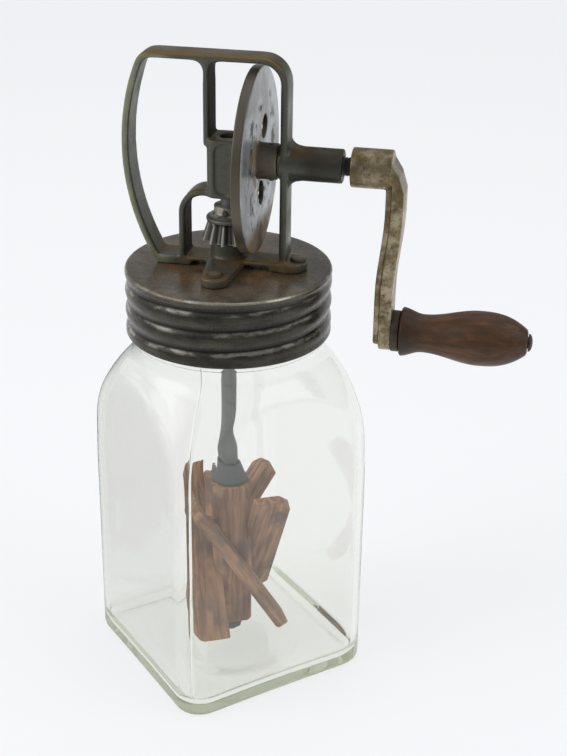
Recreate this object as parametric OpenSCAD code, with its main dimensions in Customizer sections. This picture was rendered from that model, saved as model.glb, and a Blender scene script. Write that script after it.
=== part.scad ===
// Glass jar butter churn: a square jar, a screw lid that carries a cast frame,
// a hand crank with a bevel gear, and a wooden dasher on an upright shaft.
// Millimetres. The origin is the middle of the jar's foot, +Z is up and the crank lies along +X.

/* [Jar] */
// Width of the square jar across its flats
jar_side = 114; // [106:1:124]
// Radius of the jar's upright corners
jar_corner_r = 13; // [9:1:18]
// Thickness of the glass walls
jar_wall = 3.5; // [3:0.5:5]
// Thickness of the glass floor
jar_floor = 6; // [4:0.5:9]
// Radius round the foot of the jar
jar_foot_r = 5; // [3:0.5:7]
// Height of the jar from the table to its rim
jar_h = 228.5; // [222:1:245]
// Distance from the rim down to where the shoulder starts to draw in
shoulder_drop = 102; // [96:0.5:108]
// Radius of the hollow between shoulder and neck
neck_hollow_r = 12; // [8:1:15]
// Outer radius of the neck at the root of its thread
neck_r = 49.3; // [47:0.2:51]
// Thickness of the glass at the neck
neck_wall = 4; // [3:0.5:5]
// Thickness of the bead round the neck under the lid
neck_bead = 2.4; // [1.6:0.2:3]
// Turn of the jar under the crank with the lid screwed home
jar_turn = 42.6; // [0:0.2:90]

/* [Screw thread] */
// Rise of the thread in one turn
thread_pitch = 10.6; // [9:0.2:12]
// Height of the glass thread above the neck
thread_depth = 2.2; // [1.6:0.1:2.6]
// Width of the glass thread at its root
thread_w = 4.6; // [3.6:0.2:5.4]
// Turns of glass thread on the neck
thread_turns = 1.6; // [1:0.1:2]
// Room between the glass thread and the lid
thread_room = 0.7; // [0.6:0.1:0.9]

/* [Lid] */
// Thickness of the lid's sheet metal
lid_t = 0.8; // [0.6:0.1:1.2]
// Depth of the lid's skirt
lid_h = 34.8; // [31:0.4:38]
// Depth of the beads pressed into the skirt
lid_bead = 1.5; // [1.2:0.1:1.8]
// Radius of the lid's top edge
lid_edge_r = 2; // [1.2:0.2:3]
// Distance of the first bead below the lid's top, on the crank's side
lid_first_bead = 7.5; // [5:0.5:10]
// Thickness of the sealing ring
seal_t = 1.6; // [1:0.2:2.4]
// Room above and below the sealing ring
seal_room = 0.3; // [0.3:0.1:0.5]

/* [Bevel gears] */
// Teeth of the large gear
gear_teeth = 42; // [42:12:66]
// Teeth of the pinion
pinion_teeth = 12; // [12:1:14]
// Pitch diameter per tooth at the outer end of the teeth
gear_module = 2; // [1.9:0.05:2.1]
// Length of the teeth along the gear's radius
tooth_len = 10.5; // [8:0.5:12]
// Share of the tooth pitch that is metal
tooth_share = 0.42; // [0.36:0.01:0.44]
// Slope of the tooth flanks
tooth_slope = 22; // [18:1:25]
// Height of a gear tooth above its pitch line
gear_rise = 0.6; // [0.5:0.1:0.8]
// Height of a pinion tooth above its pitch line
pinion_rise = 1.7; // [1.5:0.1:1.8]
// Room at the root of the teeth
tooth_room = 0.3; // [0.25:0.05:0.5]
// Thickness of the gear's web behind the teeth
gear_web = 2.4; // [2:0.2:3.4]
// Thickness of the rim that shrouds the teeth
gear_rim_t = 2.8; // [2.2:0.2:3.6]
// Radius of the gear's hub
gear_hub_r = 9; // [8:0.5:10]
// Length of the gear's hub on the crank's side
gear_hub_len = 9; // [8:0.5:12]
// Depth to which the gear's face is dished at its hub
gear_dish = 1.2; // [0.6:0.1:1.6]
// Number of round holes in the gear's web
gear_holes = 3; // [3:1:4]
// Diameter of those holes
gear_hole_d = 12; // [8:0.5:13]
// Distance of the holes from the gear's centre
gear_hole_at = 19; // [17.5:0.5:21]
// Turn of the holes round the gear
gear_hole_turn = 46; // [0:1:119]
// Radius of the pinion's hub
pinion_hub_r = 7.3; // [6.5:0.1:8]
// Length of the pinion's hub above its teeth
pinion_hub_len = 7.6; // [6.8:0.2:10]
// Thickness of the flange over the pinion's teeth
pinion_flange = 1.5; // [1:0.1:2]
// Diameter of the cross pins
pin_d = 2.6; // [2:0.1:3]

/* [Shafts] */
// Diameter of the crank shaft
crank_shaft_d = 9.5; // [8:0.5:10]
// Diameter of the dasher shaft
dasher_shaft_d = 8; // [7:0.5:9]
// Room round a turning shaft in its bearing
run_room = 0.06; // [0.04:0.01:0.1]
// Room between a fixed piece and its shaft
seat_room = 0.02; // [0.01:0.01:0.04]
// End play of a turning piece
end_play = 0.3; // [0.3:0.05:0.5]

/* [Casting] */
// Width of the casting's straps
strap_w = 16; // [13:0.5:18]
// Thickness of the casting's straps
strap_t = 3.6; // [3:0.2:4.4]
// Rounding of the straps' edges
strap_edge = 1; // [0.6:0.1:1.3]
// Reach of the carrying loop from the upright shaft
loop_reach = 52.6; // [49:0.5:58]
// Radius of the carrying loop's bow
loop_bow_r = 118; // [110:1:140]
// Height of the loop's widest point above the crank's axis
loop_mid = 5; // [0:0.5:8]
// Radius of the loop's upper corner
loop_corner_r = 9; // [7:0.5:11]
// Radius of the corner above the leg
leg_corner_r = 13.5; // [10:0.5:16]
// Room between the gear and the top bar
bar_room = 2.8; // [2:0.2:5]
// Thickness of the casting's foot
foot_t = 5; // [4.4:0.2:6]
// Height of the arches under the foot
foot_arch = 2.4; // [1.6:0.2:3]
// Width of the foot's crosspiece at its root
cross_w = 18; // [16:0.5:20]
// Width of the foot's ears
ear_w = 14; // [12.4:0.2:15]
// Distance from the upright shaft to the rivets in the ears
ear_at = 30; // [26:0.5:33]
// Reach of the arch under the foot on the loop's side
loop_arch_at = 17.6; // [15:0.2:20]
// Reach of the arch under the foot on the leg's side
leg_arch_at = 22.6; // [18:0.2:24]
// Radius of the pad under the leg
pad_r = 9; // [8:0.5:10]
// Height of the boss under the pinion above the lid
boss_h = 13.3; // [12.5:0.1:16]
// Radius of the boss under the pinion
boss_r = 9; // [8:0.5:9.5]
// Length of the crank bearing
bearing_len = 32; // [28:0.5:36]
// Radius of the crank bearing
bearing_r = 8.5; // [7.5:0.5:9.5]
// Stand-out of the crank bearing inside the leg
bearing_lip = 1.6; // [1:0.2:2.4]
// Radius of the hollows where the leg meets the crank bearing
web_r = 6; // [4:0.5:7]
// Width of the inner bearing block
block_w = 18.8; // [17:0.2:20]
// Depth of the inner bearing block from front to back
block_d = 20; // [18:0.5:22]
// Height of the inner bearing block above the crank's axis
block_up = 11.5; // [9.5:0.5:13]
// Depth of the inner bearing block below the crank's axis
block_down = 18.5; // [17:0.5:19.5]
// Rounding of the block's upright corners
block_r = 4; // [2:0.5:5]
// Width of the oval panel on the block's front
panel_w = 10.6; // [8:0.2:12]
// Depth of the oval panel
panel_depth = 0.8; // [0.5:0.1:1]
// Thickness of the upright above the block and of the stay beside it
stay_t = 3.2; // [2.6:0.2:3.4]
// Reach of the stay from the upright shaft
stay_reach = 24; // [22:0.5:26]
// Outer radius of the stay's bend
stay_bend_r = 13; // [10:0.5:14]
// Radius of the hollows under the top bar
hollow_r = 5.5; // [4:0.5:7]
// Diameter of the oil holes over the crank shaft
oil_hole_d = 2.4; // [1.6:0.2:3]
// Diameter of the oil cup in the top of the block
oil_cup_d = 8; // [6:0.5:10]
// Depth of the oil cup
oil_cup_depth = 3; // [2:0.5:4]
// Diameter of the rivets
rivet_d = 3.6; // [3:0.2:4.4]
// Diameter of the rivet heads
rivet_head_d = 8.6; // [7.6:0.2:9.4]
// Height of the rivet heads
rivet_head_h = 1.4; // [1:0.2:2]

/* [Crank] */
// Length of bare thread between the crank bearing and the crank
thread_gap = 4.2; // [3:0.2:7]
// Depth of the shaft thread's grooves
groove_depth = 0.5; // [0.3:0.1:0.7]
// Spacing of the shaft thread's grooves
groove_pitch = 1.4; // [1.2:0.1:1.8]
// Radius of the crank's hub
crank_hub_r = 9.8; // [9:0.2:11]
// Length of the crank's hub
crank_hub_len = 20.2; // [18:0.2:24]
// Distance from the shaft to the handle
crank_throw = 84.5; // [76:0.5:88]
// Thickness of the crank's arm along the shaft
arm_t = 9.2; // [8:0.2:11]
// Width of the crank's arm
arm_w = 17; // [15:0.5:19]
// Thickness of the ridge along the back of the arm
arm_ridge = 3.4; // [2.6:0.2:4.2]
// Stand-in of that ridge from the arm's edges
arm_ridge_in = 2.4; // [1.5:0.1:3]
// Inward lean of the arm from its hub to its end
arm_lean = 3.4; // [0:0.2:6]
// Overhang of the arm past the end of its hub
arm_over = 6.6; // [4:0.2:8]

/* [Handle] */
// Length of the wooden grip
grip_len = 64; // [56:1:76]
// Radius of the grip's flange
grip_flange_r = 12.6; // [11.6:0.2:13.6]
// Radius of the grip's waist
grip_waist_r = 9.7; // [8.9:0.2:10.7]
// Radius of the grip's belly
grip_belly_r = 13.9; // [12.9:0.2:15.5]
// Radius of the grip's end
grip_end_r = 6.1; // [5.5:0.2:8]
// Distance from the flange to the waist
grip_waist_at = 11.5; // [9:0.5:14]
// Distance from the flange to the belly
grip_belly_at = 40; // [34:0.5:46]
// Diameter of the spindle
spindle_d = 6; // [5:0.2:7]
// Thickness of the collar between arm and grip
collar_t = 4; // [3:0.2:5]
// Radius of that collar
collar_r = 10.5; // [9:0.5:11.5]
// Diameter of the spindle's domed end
dome_d = 9; // [8.4:0.2:10.6]
// Height of the spindle's domed end
dome_h = 2.2; // [1.6:0.2:2.8]

/* [Dasher] */
// Room between the shaft's foot and the jar's floor
dasher_gap = 4; // [3:0.5:8]
// Side of the square wooden hub
hub_side = 20; // [18:0.5:23]
// Length by which the wooden hub falls short of the blades' rise
hub_short = 0.3; // [0:0.1:9]
// Chamfer of the wooden hub's corners
hub_chamfer = 2.5; // [1.5:0.5:3.5]
// Length of a blade
blade_len = 98; // [88:1:104]
// Thickness of a blade
blade_t = 6.4; // [5:0.2:7]
// Reach of a blade from the shaft
blade_reach = 27; // [23:0.5:27.5]
// Slant of a blade from the upright
blade_slant = 31; // [28:1:34]
// Drop of the blades' middle below the hub's middle
blade_drop = 0.5; // [0:0.5:4]
// Turn of the paddles on the shaft
paddle_turn = 27; // [0:1:89]
// Depth of the slots that hold the blades
slot_depth = 3; // [2:0.2:3.6]
// Corner cut off a blade's outer ends
blade_cut = 6; // [3:0.5:9]
// Height of the metal socket on the hub
socket_h = 11; // [8:0.5:14]
// Radius of the socket at its foot
socket_r = 8.6; // [7.5:0.2:9.4]
// Height of the socket's straight rim
socket_rim = 2; // [1:0.5:3]
// Radius of the socket at its top
socket_top_r = 5.4; // [5:0.1:6]
// Thickness of the washer under the hub
washer_t = 1.4; // [1:0.2:2]
// Radius of the washer under the hub
washer_r = 8.5; // [7.5:0.5:9.5]
// Width of the nut across its corners
nut_w = 14; // [13:0.5:16]
// Thickness of the nut
nut_t = 5.5; // [4.5:0.5:7]

/* [Hidden] */
$fn = 64;
// Sides of the large round surfaces
fine = 128;

// Overlap that joins two solids of one piece
bond = 0.4;
// Overrun of a cutting tool past the face that it cuts
over = 1;
// Angle by which a bend runs into the straps beside it, and the skin that it lies under their faces
bend_lap = 6;
bend_skin = 0.05;

// Jar and thread
corner_reach = jar_side / sqrt(2) - jar_corner_r * (sqrt(2) - 1);
// The shoulder is part of a ball that clears the jar's corners
dome_room = 0.7;
dome_r = corner_reach + dome_room;
shoulder_z = jar_h - shoulder_drop;
jar_in_corner_r = jar_corner_r - jar_wall;
// The inner foot is a little tighter than the inner corners
jar_in_foot_r = jar_in_corner_r - bond;
neck_in_r = neck_r - neck_wall;
thread_r = neck_r + thread_depth;
// Steps round one turn of the thread and of the lid
turn_steps = 40;
// Share of a turn over which the thread grows and fades, and half the width of its crest
thread_fade = 1 / 3;
thread_tip = thread_w / 5;
// Turns from the foot of the thread up to the lid's first bead
thread_below = 2;

// Lid
lid_z = jar_h + 2 * seal_room + seal_t + lid_t;
lid_foot_z = lid_z - lid_h;
lid_in_r = thread_r + thread_room;
lid_r = lid_in_r + lid_t;
// Height of the plain band at the skirt's ends, and rows of points up the skirt
lid_band = 3.4;
lid_rows = 21;
// Part of the top edge that is cut back where its bow stands at 45 degrees
lid_edge_cut = lid_edge_r * (1 - cos(45));
lid_bend = lid_t / 2;
// Room round the dasher shaft in the lid
lid_hole_room = 1;
shaft_hole_r = dasher_shaft_d / 2 + lid_hole_room;
seal_in = bond;
first_bead_z = lid_z - lid_first_bead;
neck_bead_z = lid_foot_z - neck_bead;

// Bevel gears: the two axes cross at the height crank_z
gear_pitch_r = gear_module * gear_teeth / 2;
pinion_pitch_r = gear_module * pinion_teeth / 2;
crank_z = lid_z + boss_h + end_play + gear_pitch_r;
toe = (gear_pitch_r - tooth_len) / gear_pitch_r;
flank = tan(tooth_slope);
tooth_half = PI * gear_module * tooth_share / 2;
gear_drop = pinion_rise + tooth_room;
pinion_drop = gear_rise + tooth_room;
gear_back_x = pinion_pitch_r - gear_rise;
gear_root_x = pinion_pitch_r + gear_drop;
gear_front_x = gear_root_x + gear_web;
// Room between the pinion's heel and the rim
gear_rim_room = 1.4;
gear_rim_in_r = gear_pitch_r + gear_rim_room;
gear_rim_r = gear_rim_in_r + gear_rim_t;
// Stand-back of the gear's teeth from the pinion's flange
gear_toe_room = 1.5;
gear_toe_r = gear_pitch_r - tooth_len + gear_toe_room;
// Thickening of the web inside the teeth
gear_web_back = 1;
gear_inner_x = gear_root_x - gear_web_back;
// Stand-out of the flange past the pinion's teeth, and height of the cone above it
pinion_flange_out = 0.9;
pinion_flange_r = (pinion_pitch_r + pinion_rise) * toe + pinion_flange_out;
pinion_cone = 2.5;
pinion_heel_z = crank_z - gear_pitch_r;
pinion_toe_z = pinion_heel_z + tooth_len;
pinion_top_z = pinion_toe_z + pinion_hub_len;
pinion_pin_z = pinion_top_z - pin_d;

// Bearings and shafts
crank_shaft_r = crank_shaft_d / 2;
dasher_shaft_r = dasher_shaft_d / 2;
block_x = block_w / 2;
// Wall of the block behind its blind bore, and room past a shaft's end in a blind bore
block_wall = 3;
bore_room = 0.5;
shaft_in_x = -block_x + block_wall;
gear_hub_x = gear_front_x + gear_hub_len;
bearing_x = gear_hub_x + end_play;
bearing_end_x = bearing_x + bearing_len;
crank_hub_x = bearing_end_x + thread_gap;
crank_hub_end_x = crank_hub_x + crank_hub_len;
// Thickness of metal in the crank's hub past the shaft's end
crank_wall = 4;
crank_shaft_end_x = crank_hub_end_x - crank_wall;
// Room between the two shafts where their axes cross
shaft_gap = 1.6;
dasher_top_z = crank_z - crank_shaft_r - shaft_gap;
// Share of the hub's length at which its pin stands, and stand-out of the cross pins
gear_pin_share = 0.6;
pin_out = 0.8;
gear_pin_x = gear_front_x + gear_hub_len * gear_pin_share;

// Casting
leg_x = bearing_x + bearing_lip;
bar_z = crank_z + gear_rim_r + bar_room + strap_t;
block_top_z = crank_z + block_up;
block_foot_z = crank_z - block_down;
loop_mid_x = loop_bow_r - loop_reach;
loop_mid_z = crank_z + loop_mid;
loop_foot_turn = asin((loop_mid_z - lid_z - foot_t / 2) / loop_bow_r);
loop_corner_z = bar_z - loop_corner_r;
loop_run = loop_bow_r - loop_corner_r;
loop_top_turn = asin((loop_corner_z - loop_mid_z) / loop_run);
loop_corner_x = loop_mid_x - loop_run * cos(loop_top_turn);
loop_foot_x = loop_mid_x - loop_bow_r * cos(loop_foot_turn);
leg_corner_x = leg_x + strap_t - leg_corner_r;
leg_top_z = bar_z - leg_corner_r;
// Offset of the pad from the leg, and room between the leg and the rivet on the pad
pad_out = 2.6;
pad_rivet_room = 1;
pad_x = leg_x + strap_t / 2 + pad_out;
pad_rivet_at = leg_x + strap_t + pad_rivet_room + rivet_head_d / 2;
// Stand-out of the upright past the block, and the length by which it runs down the block
upright_out = 1.6;
upright_lap = 4;
upright_x = -block_x - upright_out;
// Height of the stay's top above the foot of the block
stay_up = 3.6;
stay_bend_x = -stay_reach + stay_bend_r;
stay_bend_z = block_foot_z + stay_up - stay_bend_r;
// The straps start halfway up the foot
strap_foot_z = lid_z + foot_t / 2;
// Share of the bearing's length at which its oil hole stands
oil_hole_share = 0.68;
// Room round the oval panel on the block
panel_room = 1.5;
rivet_hole_d = rivet_d + 2 * run_room;
pin_hole_d = pin_d + 2 * seat_room;

// Crank and handle
arm_x = crank_hub_end_x + arm_over - arm_t;
arm_foot_x = arm_x - arm_lean;
// The arm runs straight for this share of its throw at both ends, and leans between them
arm_straight_share = 0.23;
arm_bend = crank_throw * arm_straight_share;
// Widening of the arm's round end, and steps along its lean
arm_end_out = 1.6;
arm_end_r = arm_w / 2 + arm_end_out;
arm_steps = 8;
// The arm's top: its height on the hub's end, then the reach and height of its knee
arm_brow_z = crank_hub_r * 0.5;
arm_knee_x = crank_hub_end_x + arm_over * 0.6;
arm_knee_z = -crank_hub_r * 0.15;
handle_z = crank_z - crank_throw;
spindle_r = spindle_d / 2;
collar_x = arm_foot_x + arm_t;
grip_x = collar_x + collar_t + end_play;
grip_end_x = grip_x + grip_len;
dome_x = grip_end_x + end_play;
// Rounding of the grip's flange, fullness of its end, and steps along its outline
grip_edge = 1;
grip_full = 2.6;
grip_steps = 32;

// Dasher
// Length of shaft that shows below the nut
shaft_below = 2;
shaft_foot_z = jar_floor + dasher_gap;
nut_z = shaft_foot_z + shaft_below;
washer_z = nut_z + nut_t;
hub_z = washer_z + washer_t;
// Rise of a slanted blade from its lower end to its upper end
blade_rise = blade_len * cos(blade_slant) + blade_t * sin(blade_slant);
// The hub is cut to a tenth of a millimetre
hub_h = round((blade_rise - hub_short) * 10) / 10;
hub_top_z = hub_z + hub_h;
blade_z = hub_z + hub_h / 2 - blade_drop;
blade_root = hub_side / 2 - slot_depth;

// Colours
glass = [0.80, 0.86, 0.84, 0.45];
iron = [0.30, 0.31, 0.32];
worn_iron = [0.55, 0.56, 0.56];
tinplate = [0.27, 0.25, 0.22];
plating = [0.66, 0.61, 0.50];
grip_wood = [0.42, 0.26, 0.17];
paddle_wood = [0.50, 0.33, 0.26];
steel = [0.34, 0.35, 0.36];
rubber = [0.45, 0.20, 0.15];

// A cylinder along +X from the point x on the axis at height z
module bar_x(r, x, len, z) {
    translate([x, 0, z]) rotate([0, 90, 0]) cylinder(r = r, h = len);
}

// A rectangle with round corners, as a flat shape
module round_rect(w, d, r) {
    square([w - 2 * r, d], center = true);
    square([w, d - 2 * r], center = true);
    for (i = [-1, 1], j = [-1, 1])
        translate([i * (w / 2 - r), j * (d / 2 - r)]) circle(r);
}

// Faces of rings of points that close on themselves along the ring
function ring_faces(rings, count, closed) = [
    for (j = [0 : rings - (closed ? 1 : 2)], k = [0 : count - 1])
        let (a = j * count + k,
             b = j * count + (k + 1) % count,
             c = ((j + 1) % rings) * count + (k + 1) % count,
             d = ((j + 1) % rings) * count + k)
        each [[a, b, c], [a, c, d]]];

// Half outline of a tub with a rounded foot
module tub_half(half, foot, h) {
    translate([0, foot]) square([half, h - foot]);
    square([half - foot, h]);
    translate([half - foot, foot]) intersection() {
        circle(foot);
        translate([0, -foot]) square(foot);
    }
}

// Square tub with round corners and a rounded foot
module tub(side, corner, foot, h) {
    run = side - 2 * corner;
    for (turn = [0, 90])
        rotate([0, 0, turn]) translate([0, run / 2, 0]) rotate([90, 0, 0]) linear_extrude(run) {
            tub_half(side / 2, foot, h);
            mirror([1, 0]) tub_half(side / 2, foot, h);
        }
    for (i = [-1, 1], j = [-1, 1])
        translate([i * run / 2, j * run / 2, 0]) rotate_extrude() tub_half(corner, foot, h);
}

// Half outline of the shoulder and neck; bow and hollow are the two radii, top is its height
module shoulder_half(bow, hollow, neck, top) {
    side = neck + hollow;
    hollow_z = shoulder_z + sqrt(pow(bow + hollow, 2) - pow(side, 2));
    square([bow, shoulder_z]);
    translate([0, shoulder_z]) intersection() {
        circle(bow, $fn = fine);
        square(bow);
    }
    difference() {
        polygon([[0, shoulder_z], [side, hollow_z], [0, hollow_z]]);
        translate([side, hollow_z]) circle(hollow);
    }
    square([neck, top]);
}

// Height of the middle of the thread after a turn by angle a
function thread_z(a) = first_bead_z + thread_pitch * (a / 360);

// One thread ridge that grows and fades over a third of a turn at its ends
module glass_thread() {
    steps = ceil(thread_turns * turn_steps);
    fade = turn_steps * thread_fade;
    root = neck_r - 2 * bond;
    start = neck_r - bond;
    rings = [for (j = [0 : steps])
        let (a = 360 * j / turn_steps,
             grow = min(1, j / fade, (steps - j) / fade),
             crest = start + (thread_r - start) * grow,
             z = thread_z(a) - thread_below * thread_pitch,
             half = thread_w / 2)
        each [for (p = [[root, -half], [crest, -thread_tip], [crest, thread_tip], [root, half]])
            [p.x * cos(a), p.x * sin(a), z + p.y]]];
    ends = [[3, 2, 1, 0], [for (k = [0 : 3]) steps * 4 + k]];
    polyhedron(rings, concat(ring_faces(steps + 1, 4, false), ends));
}

module glass_jar() {
    color(glass) {
        rotate([0, 0, jar_turn]) difference() {
            union() {
                intersection() {
                    tub(jar_side, jar_corner_r, jar_foot_r, jar_h);
                    rotate_extrude($fn = fine)
                        shoulder_half(dome_r, neck_hollow_r, neck_r, jar_h);
                }
                translate([0, 0, neck_bead_z]) rotate_extrude($fn = fine)
                    translate([neck_r, 0]) circle(d = neck_bead);
            }
            intersection() {
                translate([0, 0, jar_floor])
                    tub(jar_side - 2 * jar_wall, jar_in_corner_r, jar_in_foot_r, jar_h);
                rotate_extrude($fn = fine)
                    shoulder_half(dome_r - jar_wall, neck_hollow_r + jar_wall, neck_in_r, jar_h + over);
            }
        }
        glass_thread();
    }
}

module lid_seal_ring() {
    color(rubber) translate([0, 0, jar_h + seal_room]) difference() {
        cylinder(r = neck_r - seal_in, h = seal_t, $fn = fine);
        translate([0, 0, -over]) cylinder(r = neck_in_r, h = seal_t + 2 * over, $fn = fine);
    }
}

// Inner radius of the lid's skirt at height z and angle a
function skirt_r(z, a) =
    let (from_end = min(z - lid_foot_z - lid_band / 2, lid_z - lid_edge_r - z),
         share = max(0, min(1, from_end / lid_band)),
         wave = cos(360 * (z - first_bead_z) / thread_pitch - a))
    lid_in_r - share * lid_bead * (1 - wave) / 2;

module lid_cap() {
    row = (lid_h - lid_edge_r) / (lid_rows - 1);
    rows = [for (k = [0 : lid_rows - 1]) lid_foot_z + row * k];
    under = lid_z - lid_t;
    rings = [for (j = [0 : turn_steps - 1])
        let (a = 360 * j / turn_steps,
             outside = [for (z = rows) [skirt_r(z, a) + lid_t, z]],
             edge = [[lid_r - lid_edge_cut, lid_z - lid_edge_cut], [lid_r - lid_edge_r, lid_z]],
             hole = [[shaft_hole_r, lid_z], [shaft_hole_r, under]],
             bend = [[lid_r - lid_edge_r - lid_bend, under]],
             inside = [for (k = [lid_rows - 1 : -1 : 0])
                 [skirt_r(rows[k], a), k == lid_rows - 1 ? rows[k] - lid_bend : rows[k]]])
        each [for (p = concat(outside, edge, hole, bend, inside))
            [p.x * cos(a), p.x * sin(a), p.y]]];
    color(tinplate) difference() {
        polyhedron(rings, ring_faces(turn_steps, 2 * lid_rows + 5, true));
        for (p = rivet_places())
            translate([p.x, p.y, under - over]) cylinder(d = rivet_hole_d, h = lid_t + 2 * over);
    }
}

// Where the three rivets stand on the lid
function rivet_places() = [[0, -ear_at], [0, ear_at], [pad_rivet_at, 0]];

// Bent strap in the XZ plane round the point x, z, from one angle over a turn; skin thins it all round
module strap_bend(x, z, r, from, turn, skin = 0) {
    translate([x, 0, z]) rotate([90, 0, 0]) rotate([0, 0, from]) rotate_extrude(angle = turn, $fn = fine)
        translate([r - strap_t / 2, 0]) round_rect(strap_t - 2 * skin, strap_w - 2 * skin, strap_edge);
}

// Hollow corner piece between two straps that meet at the point x, z; i and j give its quarter
module hollow_corner(x, z, r, w, i, j) {
    translate([x, w / 2, z]) rotate([90, 0, 0]) linear_extrude(w) mirror([i < 0 ? 1 : 0, 0])
        mirror([0, j < 0 ? 1 : 0]) difference() {
            translate([-bond, -bond]) square(r + bond);
            translate([r, r]) circle(r);
        }
}

// Carrying loop, top bar and leg
module frame_straps() {
    strap_bend(loop_mid_x, loop_mid_z, loop_bow_r, 180 - loop_top_turn, loop_top_turn + loop_foot_turn);
    strap_bend(loop_corner_x, loop_corner_z, loop_corner_r, 90 - bend_lap,
        90 - loop_top_turn + 2 * bend_lap, bend_skin);
    translate([loop_corner_x, 0, bar_z - strap_t / 2]) rotate([90, 0, 90])
        linear_extrude(leg_corner_x - loop_corner_x) round_rect(strap_w, strap_t, strap_edge);
    strap_bend(leg_corner_x, leg_top_z, leg_corner_r, -bend_lap, 90 + 2 * bend_lap, bend_skin);
    translate([leg_x + strap_t / 2, 0, strap_foot_z])
        linear_extrude(leg_top_z - strap_foot_z) round_rect(strap_t, strap_w, strap_edge);
}

// Crank bearing with its hollows above and below, on the outer side of the leg
module crank_bearing() {
    bar_x(bearing_r, bearing_x, bearing_len, crank_z);
    for (j = [-1, 1])
        hollow_corner(leg_x + strap_t, crank_z + j * (bearing_r - bond), web_r, bearing_r, 1, j);
}

// Inner bearing block, the upright that carries it and the stay beside it
module inner_bearing() {
    upright_foot_z = block_top_z - upright_lap;
    translate([0, 0, block_foot_z]) linear_extrude(block_up + block_down)
        round_rect(block_w, block_d, block_r);
    translate([upright_x, -strap_w / 2, upright_foot_z])
        cube([stay_t, strap_w, bar_z - strap_t / 2 - upright_foot_z]);
    for (i = [-1, 1])
        hollow_corner(upright_x + stay_t / 2 + i * stay_t / 2, bar_z - strap_t, hollow_r,
            strap_w - 2 * strap_edge, i, -1);
    translate([stay_bend_x, 0, stay_bend_z]) rotate([90, 0, 0]) rotate([0, 0, 90])
        rotate_extrude(angle = 90)
            translate([stay_bend_r - stay_t, -strap_w / 2]) square([stay_t, strap_w]);
    translate([stay_bend_x - bond, -strap_w / 2, stay_bend_z + stay_bend_r - stay_t + bend_skin])
        cube([-stay_bend_x - block_x + 2 * bond + block_r, strap_w, stay_t - 2 * bend_skin]);
    translate([-stay_reach, -strap_w / 2, strap_foot_z])
        cube([stay_t, strap_w, stay_bend_z - strap_foot_z]);
}

// Foot on the lid: a bar along the crank, a crosspiece with two ears, and the boss under the pinion
module frame_foot() {
    translate([0, 0, lid_z]) difference() {
        linear_extrude(foot_t) {
            translate([loop_foot_x + strap_edge, -strap_w / 2])
                square([pad_x - loop_foot_x - strap_edge, strap_w]);
            translate([pad_x, 0]) circle(pad_r);
            for (turn = [0, 180]) rotate(turn) {
                polygon([[-cross_w / 2, 0], [cross_w / 2, 0], [cross_w / 2, -strap_w / 2],
                    [ear_w / 2, -ear_at], [-ear_w / 2, -ear_at], [-cross_w / 2, -strap_w / 2]]);
                translate([0, -ear_at]) circle(ear_w / 2);
            }
        }
        for (span = [[-loop_arch_at, -boss_r - bond], [boss_r + bond, leg_arch_at]])
            translate([span.x, -strap_w, -over]) cube([span.y - span.x, 2 * strap_w, foot_arch + over]);
    }
    translate([0, 0, lid_z]) cylinder(r = boss_r, h = boss_h);
}

// Bores for the two shafts, the oil holes and the rivet holes
module frame_bores() {
    translate([0, 0, lid_z - over])
        cylinder(r = dasher_shaft_r + run_room, h = dasher_top_z + bore_room - lid_z + over);
    bar_x(crank_shaft_r + run_room, shaft_in_x - bore_room,
        bearing_end_x + over - shaft_in_x + bore_room, crank_z);
    for (x = [0, bearing_x + bearing_len * oil_hole_share])
        translate([x, 0, crank_z]) cylinder(d = oil_hole_d, h = bearing_r + block_up);
    translate([0, 0, block_top_z - oil_cup_depth]) cylinder(d = oil_cup_d, h = oil_cup_depth + over);
    translate([0, -block_d / 2 - over, crank_z + (block_up - block_down) / 2]) rotate([-90, 0, 0])
        linear_extrude(panel_depth + over) panel_outline();
    for (p = rivet_places())
        translate([p.x, p.y, lid_z - over]) cylinder(d = rivet_hole_d, h = foot_t + 2 * over);
}

// Oval outline of the panel on the block
module panel_outline() {
    run = block_up + block_down - panel_w - 2 * panel_room;
    square([panel_w, run], center = true);
    for (j = [-1, 1]) translate([0, j * run / 2]) circle(d = panel_w);
}

module frame_casting() {
    color(iron) difference() {
        union() {
            frame_straps();
            crank_bearing();
            inner_bearing();
            frame_foot();
        }
        frame_bores();
    }
}

// A rivet with a domed head on the foot and a flat one under the lid
module rivet() {
    ball = (pow(rivet_head_d / 2, 2) + pow(rivet_head_h, 2)) / (2 * rivet_head_h);
    translate([0, 0, -lid_t - rivet_head_h / 2]) cylinder(d = rivet_head_d, h = rivet_head_h / 2);
    translate([0, 0, -lid_t - bond]) cylinder(d = rivet_d, h = lid_t + foot_t + 2 * bond);
    translate([0, 0, foot_t]) intersection() {
        cylinder(d = rivet_head_d, h = rivet_head_h);
        translate([0, 0, rivet_head_h - ball]) sphere(ball);
    }
}

module frame_rivets() {
    color(worn_iron) for (p = rivet_places()) translate([p.x, p.y, lid_z]) rivet();
}

// Tooth that tapers towards the crossing of the axes; tip and root are x at the gear's pitch radius
module bevel_tooth(tip, tip_half, root, root_half, outer, inner) {
    side = tip < root ? 1 : -1;
    outline = [[root, -side * root_half], [root, side * root_half],
        [tip, side * tip_half], [tip, -side * tip_half]];
    points = [for (r = [outer, inner], p = outline)
        let (s = r / gear_pitch_r) [p.x * s, p.y * s, -r]];
    polyhedron(points, [[0, 1, 2, 3], [7, 6, 5, 4],
        for (k = [0 : 3]) [k, k + 4, (k + 1) % 4 + 4, (k + 1) % 4]]);
}

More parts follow.
